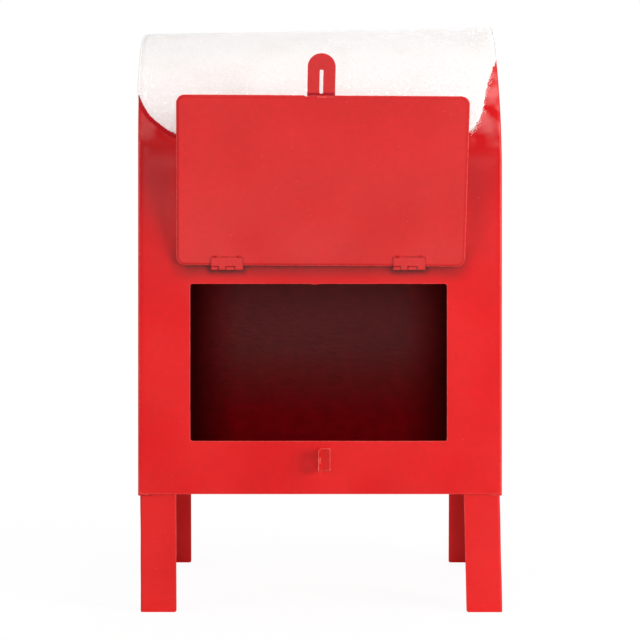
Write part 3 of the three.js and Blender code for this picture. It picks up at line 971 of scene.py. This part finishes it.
def leg(name, stray):
    """An angle leg drawn flat, with its free foot corners rounded, and bent along its middle."""
    low, high = low_high(name)
    inset = LEG_SHEET / 2
    outwards = np.sign((low + high)[:2])
    outer = np.where(outwards > 0, high[:2], low[:2])
    inner = np.where(outwards > 0, low[:2], high[:2])
    corner = outer - inset * outwards
    line, length, bends = fold([(inner[0], corner[1]), corner, (corner[0], inner[1])], 1.6)

    def middle(u, v):
        x, y = line(u).T
        drop = np.clip(-v / -low[2], 0, None)
        return np.column_stack([x + stray[0] * drop, y + stray[1] * drop, v])

    outline = rounded_rectangle((0, low[2]), (length, high[2]), [1.8] * 4)
    layout = Layout([outline], step=4, guides=upright_lines(bends, low[2], high[2]), rounding=0.35)
    dent = swell(SEED + 20 + list(STRAY).index(name), 0.1, 40)
    made = sheet(name + "_angle", layout, dented(middle, dent), LEG_SHEET, LEG_RED)
    dress(made, "body", "leg_paint", name)


# ---- the access door and its latch ----

# The door hangs crooked: how far its free edge has strayed to +X, with a share of that at its hinges, how
# steeply its +X end droops about a level place, and how much longer than the CAD door it is.
DOOR_STRAY = 2.0
DOOR_START = 0.2
DOOR_DROOP = 0.007
DOOR_LEVEL_X = -10
DOOR_GROWTH = 0.6


def door_sheet():
    """The door, with rounded corners, a rolled edge and a nick in the edge that is low when it is closed."""
    low, high = closed_box("access_door")
    middle_place, half = (low + high) / 2, (high - low) / 2
    corner, turn_in = 6.4, 2.4

    def to_edge(u, v):
        """Distance in from the door's rounded outline."""
        x = np.abs(u - middle_place[0]) - half[0] + corner
        z = np.abs(v - middle_place[2]) - half[2] + corner
        beyond = np.hypot(np.maximum(x, 0), np.maximum(z, 0)) + np.minimum(np.maximum(x, z), 0)
        return corner - beyond

    def turned_in(u, v):
        """The stamped edge rolls a little towards the door's outside."""
        share = np.clip(1 - to_edge(u, v) / turn_in, 0, 1)
        return 0.75 * share * share + swell(SEED + 31, 0.22, 120)(u, v)

    def middle(u, v):
        """The door hangs a little crooked: its free edge strays to +X, and its +X end droops when open."""
        x = u + DOOR_STRAY * (DOOR_START + v / low[2])
        z = v + DOOR_DROOP * (u - DOOR_LEVEL_X) - DOOR_GROWTH * v / low[2]
        return swung_open(np.column_stack([x, np.full(len(u), middle_place[1]), z]))

    def inset_outline(depth):
        size = ((low[0] + depth, low[2] + depth), (high[0] - depth, high[2] - depth))
        return rounded_rectangle(*size, [corner - depth] * 4, 8)

    outline = nicked(inset_outline(0), middle=-12.5, y=low[2], half_width=2.2, depth=0.7)
    rings = [inset_outline(depth) for depth in (1.4, 1.9, turn_in)]
    layout = Layout([outline], step=4, loop_step=2.5, rounding=0.3, rings=rings)
    made = sheet("access_door_sheet", layout, dented(middle, turned_in), high[1] - low[1], DOOR_RED)
    dress(made, "access_door", "door_paint", "access_door")


# How far the hasp is set to +X, how steeply it leans that way, and how much closer than the CAD hasp its
# strap lies to the panel when the door is closed.
HASP_SHIFT = 0.4
HASP_LEAN = 0.018
HASP_DIP = 0.1


def hasp_strap():
    """The slotted strap: a pad on the door's outside, a short step past its edge, and the free tab."""
    low, high = closed_box("hasp")
    door_low = closed_box("access_door")[0]
    inset = HASP_SHEET / 2
    pad_y, tab_y = low[1] + inset, high[1] - inset + HASP_DIP
    step_run, paint_build = 1.1, 0.27
    corners = [(pad_y, high[2]), (pad_y, door_low[2]), (tab_y, door_low[2] - step_run), (tab_y, low[2])]
    line, length, bends = fold(corners, 0.7, 4)
    root = length - 10

    def middle(u, v):
        """The strap leans a little to +X, turned about its root."""
        y, z = line(length - v).T
        x = u + HASP_SHIFT + HASP_LEAN * (root - v)
        return swung_open(np.column_stack([x, y, z + HASP_LEAN * (u - low[0]) - DOOR_GROWTH]))

    half = (high[0] - low[0]) / 2
    outline = rounded_rectangle((low[0], 0), (high[0], length), [half - 0.01, half - 0.01, 2, 2], 14)
    x, _, z = closed("hasp").T
    in_slot = (abs(x - middle_x(low, high)) < 2) & (z > low[2] + 2) & (z < door_low[2] - 0.5)
    found = np.column_stack([x, z - low[2] + DOOR_GROWTH])[in_slot]
    slot = rounded_rectangle(found.min(axis=0) + paint_build, found.max(axis=0) - paint_build, [0.9] * 4)
    guides = level_lines([length - bend for bend in bends], low[0], high[0])
    layout = Layout([outline, slot[::-1]], step=1.6, guides=guides, rounding=0.3, loop_step=0.8)
    dent = swell(SEED + 41, 0.06, 14)
    made = sheet("hasp_strap", layout, dented(middle, dent), HASP_SHEET, HASP_RED)
    dress(made, "access_door", "fitting_paint", "hasp")


def staple_tab():
    """The staple: a plate on the panel, and its leaning fin with a padlock hole."""
    low, high = low_high("staple")
    inset = STAPLE_SHEET / 2
    plate_y = high[1] - inset
    on_plate, more_lean, set_in = 1.2, 1.2, 0.4
    points = vertices("staple")
    x_at_plate = points[points[:, 1] > high[1] - on_plate, 0].min()
    lean = x_at_plate - low[0] + more_lean
    fold_x = x_at_plate + inset + set_in
    corners = [(high[0], plate_y), (fold_x, plate_y), (fold_x - lean, low[1])]
    line, length, bends = fold(corners, 1.1)

    def middle(u, v):
        x, y = line(u).T
        return np.column_stack([x, y, v])

    outline = rounded_rectangle((0, low[2]), (length, high[2]), [1, 2.5, 2.5, 1])
    hole_radius, hole_in = 2.5, 4.7
    turn = np.linspace(0, 2 * math.pi, 25)[:-1]
    hole = np.column_stack([np.cos(turn), np.sin(turn)]) * hole_radius
    hole = hole + [length - hole_in, (low[2] + high[2]) / 2]
    guides = upright_lines(bends, low[2], high[2])
    layout = Layout([outline, hole[::-1]], step=1.2, guides=guides, loop_step=0.8)
    made = sheet("staple_tab", layout, middle, STAPLE_SHEET, STAPLE_RED)
    dress(made, "body", "fitting_paint", "staple")


# ---- hinges ----

# Where a hinge's four knuckles begin and end along its pin, and how high its leaves' plates reach.
KNUCKLES = [-12.7, -6.9, -1.1, 6, 12.7]
KNUCKLE_GAP = 0.12
LEAF_REACH = 9.6


def hinge_leaf(node_name, body, move, up, x):
    """A butt hinge's leaf, drawn flat, whose two fingers curl round the pin.

    It is drawn about the closed hinge's axis: up is +1 for the body leaf and -1 for the swinging one.
    """
    plate_start, corner = 1.9, 0.6
    curl = HINGE_OUT - 0.1 - HINGE_SHEET / 2
    turn = math.radians(300)
    half = KNUCKLES[-1]

    def middle(u, v):
        angle = np.clip(-v / curl, 0, None)
        y = curl * np.cos(angle)
        z = np.where(v > 0, v, -curl * np.sin(angle))
        return move(np.column_stack([u + x, y, up * z]))

    first = 0 if up > 0 else 1
    outline = [(half - corner, LEAF_REACH), (half, LEAF_REACH - corner), (half, plate_start)]
    fingers = []
    for k in (first + 2, first):
        left, right = KNUCKLES[k] + KNUCKLE_GAP, KNUCKLES[k + 1] - KNUCKLE_GAP
        fingers.append((left, right))
        outline += [(right, plate_start), (right, -curl * turn), (left, -curl * turn), (left, plate_start)]
    outline += [(-half, plate_start), (-half, LEAF_REACH - corner), (-half + corner, LEAF_REACH)]
    outline = np.array(outline)[::-1]
    curls = -curl * np.linspace(0, turn, 16)[:-1]
    guides = [line for left, right in fingers for line in level_lines(curls, left, right)]
    layout = Layout([outline], step=1.4, guides=guides, rounding=0.16, loop_step=1.0)
    made = sheet(node_name + "_plate", layout, middle, HINGE_SHEET, HINGE_RED)
    dress(made, body, "fitting_paint", node_name)


def hinge_pair(prefix, swinging_body, still, swinging, facing):
    """Two hinges' leaves, and a finish for their CAD pins. facing is -1 where the drawing is turned round."""
    for side in SIDES:
        x = facing * pin_x(prefix, side)
        hinge_leaf(f"{prefix}_hinge_{side}_body_leaf", "body", still, 1, x)
        hinge_leaf(f"{prefix}_hinge_{side}_{prefix}_leaf", swinging_body, swinging, -1, x)
        pin = frame["nodes"][f"{prefix}_hinge_{side}_pin"]
        pin.data.materials.clear()
        pin.data.materials.append(PIN_RED)
        bevel = pin.modifiers.new("rounded ends", "BEVEL")
        bevel.width, bevel.segments = 0.25 * MM, 3
        pin.data.shade_smooth()
        weigh_normals(pin)


# For each pair: its name's prefix, the body that swings, and where its still and swinging leaves are drawn.
HINGE_PAIRS = (
    ("door", "access_door", still_on_service, swung_open, 1),
    ("flap", "letter_flap", on_posting, on_posting, -1),
)

# ---- the letter flap ----


def flap_sheet():
    """The flap over the letter slot, with a lip turned out along its lower edge."""
    low, high = low_high("letter_flap")
    near, level = high[2] - FLAP_AXIS[2], HINGE_OUT - SHEET / 2 - 0.35
    lip_out = -(high[1] - FLAP_AXIS[1])
    lip_low = low[2] - FLAP_AXIS[2] + SHEET / 2
    corners = [(level, near), (level, lip_low), (lip_out, lip_low)]
    line, length, bends = fold(corners, 3.0)

    def middle(u, v):
        y, z = line(length - v).T
        return on_posting(np.column_stack([u, y, z]))

    outline = rounded_rectangle((low[0], 0), (high[0], length), [3.5, 3.5, 2.5, 2.5])
    guides = level_lines([length - bend for bend in bends], low[0], high[0])
    layout = Layout([outline], step=3.5, guides=guides, rounding=0.3, loop_step=2)
    made = sheet("letter_flap_sheet", layout, dented(middle, swell(SEED + 51, 0.12, 90)), SHEET, DOOR_RED)
    dress(made, "letter_flap", "door_paint", "letter_flap")


# ---- tack welds ----


TACK_SIZE = (1.4, 0.9, 0.22)


def tack(name, body, slot, centre, across, along, material):
    """A small flattened blob of filler metal under the paint, lying on a surface."""
    rings, spokes = 5, 20
    half_width, half_length, rise = TACK_SIZE
    normal = np.cross(across, along)
    rng = np.random.default_rng(SEED + int(abs(centre @ [1, 7, 13]) * 10))
    wobble = 1 + 0.14 * swell(int(rng.integers(1000)), 1, 3)(np.arange(spokes) * 0.3, np.zeros(spokes))
    points, faces = [centre + normal * rise], []
    for ring in range(1, rings + 1):
        tilt = ring / rings * math.pi / 2
        for k in range(spokes):
            a = 2 * math.pi * k / spokes
            out = math.sin(tilt) * wobble[k]
            flat = across * math.cos(a) * half_width * out + along * math.sin(a) * half_length * out
            points.append(centre + flat + normal * rise * math.cos(tilt))
    points.append(centre - normal * 0.05)
    for k in range(spokes):
        after = (k + 1) % spokes
        faces.append((0, 1 + k, 1 + after))
        for ring in range(rings - 1):
            inner, outer = 1 + ring * spokes, 1 + (ring + 1) * spokes
            faces.append((inner + k, outer + k, outer + after, inner + after))
        last = 1 + (rings - 1) * spokes
        faces.append((last + k, len(points) - 1, last + after))
    dress(add_object(name, points, faces, [material]), body, slot)


def bead(name, body, slot, place, low, high, rise, material):
    """A low rounded strip of filler, laid between two (x, z) corners of a surface given by place(x, z)."""
    radius = min(high[0] - low[0], high[1] - low[1]) / 2
    outline = rounded_rectangle(low, high, [radius * 0.8] * 4)
    layout = Layout([outline], step=0.5, rounding=0.08, loop_step=0.6)

    def dome(uv, edge):
        share = np.clip(edge / radius, 0, 1)
        return 0.1 + rise * np.sqrt(share * (2 - share))

    points, faces, _, edge = layout.solid(place, dome, level(-0.15), turns=2)
    dress(add_object(name, points, faces, [material], None, edge), body, slot)


def hasp_beads():
    """Filler along the hasp's root, in the corner behind the door's edge, dark red as painted shade, and over
    the edge itself.
    """
    low, high = closed_box("hasp")
    door_low, door_high = closed_box("access_door")
    middle = middle_x(low, high) + HASP_SHIFT

    def on_strap(u, v):
        """The strap's inner face, with its outside on the camera's side when the door is open."""
        y = np.interp(v, (door_low[2] - 2.4, door_low[2]), (high[1] + HASP_DIP, high[1] - 0.7))
        return swung_open(np.column_stack([-u + 2 * middle, y, v - DOOR_GROWTH]))

    def on_door(u, v):
        x = -u + 2 * middle + DOOR_STRAY
        return swung_open(np.column_stack([x, np.full(len(u), door_high[1]), v - DOOR_GROWTH]))

    half = (high[0] - low[0]) / 2 - 0.3
    at_root = ((middle - half, door_low[2] - 1.5), (middle + half, door_low[2] + 0.2))
    on_edge = ((middle - 8, door_low[2] + 0.7), (middle + 5, door_low[2] + 1.6))
    bead("hasp_root_bead", "access_door", "fitting_paint", on_strap, *at_root, 0.2, ROOT_SHADE_RED)
    bead("door_edge_bead", "access_door", "door_paint", on_door, *on_edge, 0.25, DOOR_RED)


def leaf_tacks():
    """Two tacks at the free edge of each hinge leaf."""
    for prefix, swinging_body, still, swinging, facing in HINGE_PAIRS:
        for side in SIDES:
            x = facing * pin_x(prefix, side)
            leaves = (("body", still, 1, BODY_RED), (swinging_body, swinging, -1, TACK_RED))
            for body, move, up, material in leaves:
                for end in (-1, 1):
                    local = np.array([[x + end * 9.2, HINGE_OUT - 0.05, up * (LEAF_REACH + 0.2)]])
                    beside = local + [[1.0, 0, 0]]
                    above = local + [[0, 0, 1.0]]
                    centre, beside, above = move(local)[0], move(beside)[0], move(above)[0]
                    leaf_name = "body_leaf" if up > 0 else f"{prefix}_leaf"
                    name = f"{prefix}_hinge_{side}_{leaf_name}_tack_{'a' if end < 0 else 'b'}"
                    slot = "body_paint" if up > 0 else "door_paint"
                    tack(name, body, slot, centre, beside - centre, above - centre, material)


# ---- the snow ----

SNOW_OUT = low_high("snow_coat")[1][2] - SPRING
SNOW_HALF = low_high("snow_coat")[1][0]
SNOW_SKIN = 0.8
SNOW_SINK = 0.35
EDGE_SMOOTHING = 4
# The snow's height above the bare sheet's face, where a piece of it begins.
SNOW_BASE = SHEET / 2 + 0.05
# How much higher than the CAD coat the snow ends on the service side: at these x, by these heights.
SNOW_RAISE = ((-60, 60), (2.2, 0.8))


def snow_edge(chosen, along, height):
    """Part of the snow coat's lower edge, as (along, height) points in order of along."""
    found = np.unique(np.round(np.column_stack([along, height])[chosen], 1), axis=0)
    kept = [found[0]]
    for point in found[1:]:
        if point[0] - kept[-1][0] > 0.6:
            kept.append(point)
    line = np.array(kept)
    for _ in range(EDGE_SMOOTHING):
        line[1:-1] = (line[:-2] + 2 * line[1:-1] + line[2:]) / 4
    return line


def crumbled(loop, size, wavelength, seed):
    """A loop with its side nudged in and out by small random bites."""
    rng = np.random.default_rng(seed)
    amounts = np.array([size(point) for point in loop])
    slow = np.array([noise.noise(Vector((*point / wavelength, seed))) for point in loop])
    bites = slow + rng.normal(0, 0.5, len(loop))
    return loop + mitres(loop) * (np.clip(bites, -1.4, 1.4) * amounts)[:, None]


def snow_height(seed):
    """The coat's thickness: feathered at its edge, with swells and coarse grains."""
    rng = np.random.default_rng(seed)

    def height(uv, edge):
        share = np.clip(edge / 4, 0, 1)
        feather = 0.35 + 0.65 * share * (2 - share)
        drift = np.array([noise.noise(Vector((*point / 26, seed))) for point in uv])
        lumps = np.array([noise.noise(Vector((*point / 3.2, seed + 5))) for point in uv])
        grains = rng.normal(0, 0.05, len(uv))
        return SNOW_SKIN * feather + np.clip(0.1 * drift + 0.1 * lumps + grains, -0.25, 0.25)

    return height


def snow_top():
    """The barrel's part of the coat: its loop in (x, distance along the wrapped sheet)."""
    x, y, z = vertices("snow_coat").T
    on_barrel = (np.hypot(y, z - SPRING) > SNOW_OUT - 0.2) & (abs(x) < SNOW_HALF - 0.1)
    turned = np.arctan2(z - SPRING, -y) * WRAP_MIDDLE + SPRING
    service = snow_edge(on_barrel & (y < 0), x, turned)
    posting = snow_edge(on_barrel & (y > 0), x, turned)
    service[:, 1] += np.interp(service[:, 0], *SNOW_RAISE)
    ends = (-SNOW_HALF + 0.3, SNOW_HALF - 0.3)
    for line in (service, posting):
        line[0, 0], line[-1, 0] = ends
    return service, posting


def snow_island(loop, step, middle, height, crumble):
    """A patch of snow over a middle surface, with a crumbled edge, as (points, faces)."""
    loop = crumbled(resampled(loop, 1.1), crumble, 2.4, SEED)
    layout = Layout([loop], step=step, rounding=0.22, loop_step=2.5)
    return layout.solid(middle, height, level(-SNOW_SINK), turns=2)[:2]


def snow_cap_loop(side):
    """An end's part of the coat: its loop in (y, z)."""
    x, y, z = vertices("snow_coat").T
    on_end = (abs(x - side * SNOW_HALF) < 0.02) & (np.hypot(y, z - SPRING) < SNOW_OUT - 0.3)
    line = snow_edge(on_end, y, z)
    reach = SNOW_OUT - 0.3
    first, last = (math.atan2(p[1] - SPRING, p[0]) for p in (line[0], line[-1]))
    angles = np.linspace(last, first, 90)
    arc = np.column_stack([np.cos(angles), np.sin(angles)]) * reach + [0, SPRING]
    return np.vstack([line[1:-1], arc])


def snow():
    """The coat: one patch over the barrel, one on each end, and the loose crumbs, as a single object."""
    service, posting = snow_top()
    loop = np.vstack([service, posting[::-1]])

    def roof(u, v):
        return off(shell_face, np.column_stack([u, v]), np.full(len(u), SNOW_BASE))

    def on_top_crumble(point):
        """The coat ends sharply on the left and raggedly on the right."""
        inner = abs(point[0]) < SNOW_HALF - 1
        return inner * (0.12 + 0.4 * np.clip((point[0] - 60) / 40, 0, 1))

    pieces = [snow_island(loop, 1.7, roof, snow_height(SEED), on_top_crumble)]
    for side in (-1, 1):
        loop = snow_cap_loop(side)
        if side < 0:
            loop = (loop * [-1, 1])[::-1]

        def end(u, v, side=side):
            y = side * u
            x = side * PAN_HIGH[0] + pan_dent(side)(y, v)
            return askew(np.column_stack([x, y, v]))

        def cap_crumble(point):
            return 0.35 * (np.hypot(point[0], point[1] - SPRING) < SNOW_OUT - 1)

        pieces.append(snow_island(loop, 1.9, end, snow_height(SEED + 2 + side), cap_crumble))
    pieces += crumbs(service)
    points, faces, total = [], [], 0
    for part_points, part_faces in pieces:
        points.append(part_points)
        faces += [[k + total for k in face] for face in part_faces]
        total += len(part_points)
    made = add_object("snow_coat_glitter", np.vstack(points), faces, [SNOW_WHITE])
    dress(made, "body", "glitter_snow", "snow_coat")


def crumbs(service):
    """Loose grains beyond the coat's edge, most of them on the right."""
    rng = np.random.default_rng(SEED + 60)
    found = []
    octahedron = [(0, 2, 4), (2, 1, 4), (1, 3, 4), (3, 0, 4), (2, 0, 5), (1, 2, 5), (3, 1, 5), (0, 3, 5)]
    for k in range(230):
        to_right = k % 5 > 0
        x = rng.uniform(118, 139) if to_right else rng.uniform(-142, 110)
        edge = np.interp(x, service[:, 0], service[:, 1])
        slope = abs(np.interp(x + 1, service[:, 0], service[:, 1]) - edge)
        beyond = min(rng.exponential(0.9 if to_right else 0.4), 2.6) * math.hypot(1, slope)
        uv = np.array([[x, edge - 0.2 - beyond]])
        centre = off(shell_face, uv, SNOW_BASE)[0]
        size = rng.uniform(0.18, 0.5)
        axes = rng.normal(0, 1, (3, 3))
        axes /= np.linalg.norm(axes, axis=1, keepdims=True)
        q, _ = np.linalg.qr(axes)
        points = np.array([q[0], -q[0], q[1], -q[1], q[2], -q[2]]) * size + centre
        if np.linalg.det(q) < 0:
            points[[4, 5]] = points[[5, 4]]
        found.append((points, octahedron))
    return found


# Where the glue's band ends, along X: to its right the snow crumbles over the bare paint.
GLUE_END = 118


def glue_bead():
    """The glossy band of glue that the snow was stuck with, where it shows below the snow's edge."""
    line = snow_top()[0]
    line = line[(np.abs(line[:, 0]) < WRAP_HALF - 0.3) & (line[:, 0] < GLUE_END)]
    rows = 9
    direction = np.gradient(line, axis=0)
    direction /= np.linalg.norm(direction, axis=1, keepdims=True)
    outwards = np.column_stack([direction[:, 1], -direction[:, 0]])
    wander = np.array([noise.noise(Vector((p[0] / 7, p[1] / 7, 3.0))) for p in line])
    width = (3.4 + 0.9 * wander) * np.clip((GLUE_END - line[:, 0]) / 12, 0.12, 1)
    points, faces = [], []
    for row in range(rows):
        across = row / (rows - 1)
        uv = line + outwards * (across * (width + 0.6) - 0.6)[:, None]
        uv[:, 0] = np.clip(uv[:, 0], -WRAP_HALF + 0.2, WRAP_HALF - 0.2)
        swollen = 0.24 * math.sin(math.pi * across) ** 0.6 if 0 < row < rows - 1 else 0.0
        points.append(off(shell_face, uv, np.full(len(uv), SHEET / 2 - 0.03 + swollen)))
    points.append(off(shell_face, line + outwards * 0.8, np.full(len(line), SHEET / 2 - 0.2)))
    count = len(line)
    for row in range(rows):
        upper, lower = row * count, ((row + 1) % (rows + 1)) * count
        for k in range(count - 1):
            faces.append((upper + k, lower + k, lower + k + 1, upper + k + 1))
    last = rows * count
    for k in range(count - 1):
        faces.append((last + k, k, k + 1, last + k + 1))
    faces.append(tuple(row * count for row in range(rows + 1))[::-1])
    faces.append(tuple(row * count + count - 1 for row in range(rows + 1)))
    made = add_object("glue_bead", np.vstack(points), faces, [GLUE_RED])
    dress(made, "body", "body_paint")


# ---- assembly ----

body_shell()
for end in (-1, 1):
    side_pan(end)
floor_sheet()
for leg_name, stray in STRAY.items():
    leg(leg_name, stray)
door_sheet()
hasp_strap()
staple_tab()
flap_sheet()
for pair in HINGE_PAIRS:
    hinge_pair(*pair)
leaf_tacks()
hasp_beads()
snow()
glue_bead()

# ---- stage ----

CAMERA_DISTANCE = 2.0
CAMERA_HEIGHT = 0.282
CAMERA_LENS = 135.3
HORIZON_SHIFT = -0.2901
FLOOR_Z = cad_bounds[0][2]
FLOOR_REACH = 1800
FLOOR_SIDES = 96
FLOOR_GAP = 0.2
WHITE = (1, 1, 1, 1)


def camera():
    """A level camera, whose picture is shifted down only while it keeps its own level aim.
    """
    data = bpy.data.cameras.new("camera")
    made = bpy.data.objects.new("camera", data)
    bpy.context.scene.collection.objects.link(made)
    made.location = (0, -CAMERA_DISTANCE, CAMERA_HEIGHT)
    made.rotation_euler = (math.pi / 2, 0, 0)
    data.sensor_width, data.lens = 36, CAMERA_LENS
    bpy.context.scene.camera = made
    curve = data.driver_add("shift_y")
    curve.driver.type = "SUM"
    level = curve.driver.variables.new()
    level.targets[0].id = made
    level.targets[0].data_path = "rotation_mode"
    for modifier in list(curve.modifiers):
        curve.modifiers.remove(modifier)
    curve.keyframe_points.insert(0, 0)
    curve.keyframe_points.insert(1, HORIZON_SHIFT)


def area_light(name, place, aim_height, size, power):
    """A rectangular light that is aimed at a height over the middle of the floor."""
    data = bpy.data.lights.new(name, "AREA")
    data.shape = "RECTANGLE"
    data.size, data.size_y = size
    data.energy = power
    made = bpy.data.objects.new(name, data)
    made.location = place
    made.rotation_euler = (Vector((0, 0, aim_height)) - Vector(place)).to_track_quat("-Z", "Y").to_euler()
    made.visible_camera = False
    bpy.context.scene.collection.objects.link(made)


def world():
    """Grey light from all round, brighter in the paint's reflections, and plain white behind the object."""
    made = bpy.data.worlds.new("studio")
    tree = NodeTree(made)
    strength = tree.spread(tree.add("LightPath", "Is Glossy Ray"), 0, 1, 0.165, 0.55)
    lighting = tree.add("Background", "Background", {"Color": WHITE, "Strength": strength})
    backdrop = tree.add("Background", "Background", {"Color": WHITE, "Strength": 1})
    seen = tree.add("LightPath", "Is Camera Ray")
    tree.finish(tree.add("MixShader", "Shader", {"Fac": seen, 1: lighting, 2: backdrop}), "OutputWorld")
    bpy.context.scene.world = made


def floor():
    """A pale disc that takes a faint shadow and fades into the white backdrop.

    In the paint's reflections it is bright near the object and dark far away, as a photographer's table is.
    """
    material, tree = new_material("pale_floor")
    place = tree.add("NewGeometry", "Position")
    reach = tree.add("VectorMath", "Value", {0: place}, operation="LENGTH")
    matt = tree.add("BsdfDiffuse", "BSDF", {"Color": (0.8, 0.8, 0.8, 1)})
    dark = tree.add("BsdfDiffuse", "BSDF", {"Color": (0.1, 0.1, 0.1, 1)})
    glow = tree.add("Emission", "Emission", {"Color": WHITE, "Strength": 0.4})
    white = tree.add("Emission", "Emission", {"Color": WHITE, "Strength": 1})
    lit = tree.add("AddShader", "Shader", {0: matt, 1: glow})
    fade = tree.spread(reach, 0.4, 1.0, 0.9, 1)
    shown = tree.add("MixShader", "Shader", {"Fac": fade, 1: lit, 2: white})
    far_fade = tree.spread(reach, 1.0, 1.7, 0, 1)
    mirrored = tree.add("MixShader", "Shader", {"Fac": far_fade, 1: matt, 2: dark})
    seen = tree.add("LightPath", "Is Camera Ray")
    tree.finish(tree.add("MixShader", "Shader", {"Fac": seen, 1: mirrored, 2: shown}))
    turn = np.linspace(0, 2 * math.pi, FLOOR_SIDES + 1)[:-1]
    rim = np.column_stack([np.cos(turn), np.sin(turn), 0 * turn]) * FLOOR_REACH
    points = rim + [0, 0, FLOOR_Z / MM - FLOOR_GAP]
    add_object("floor_disc", points, [tuple(range(FLOOR_SIDES))], [material])


camera()
world()
floor()
area_light("right", (1.7, -1.3, 0.6), 0.1, (0.9, 1.3), 32)
area_light("left", (-1.7, -1.3, 0.6), 0.1, (0.9, 1.3), 13.2)
area_light("top", (0, -0.4, 1.9), 0.2, (1.6, 1.2), 12.6)
area_light("lens", (0, -2.1, 0.4), 0.1, (0.5, 0.4), 2.8)
area_light("back", (0.5, 1.8, 1.0), 0.1, (1.3, 1.0), 17)
bpy.context.scene.view_settings.view_transform = "Standard"
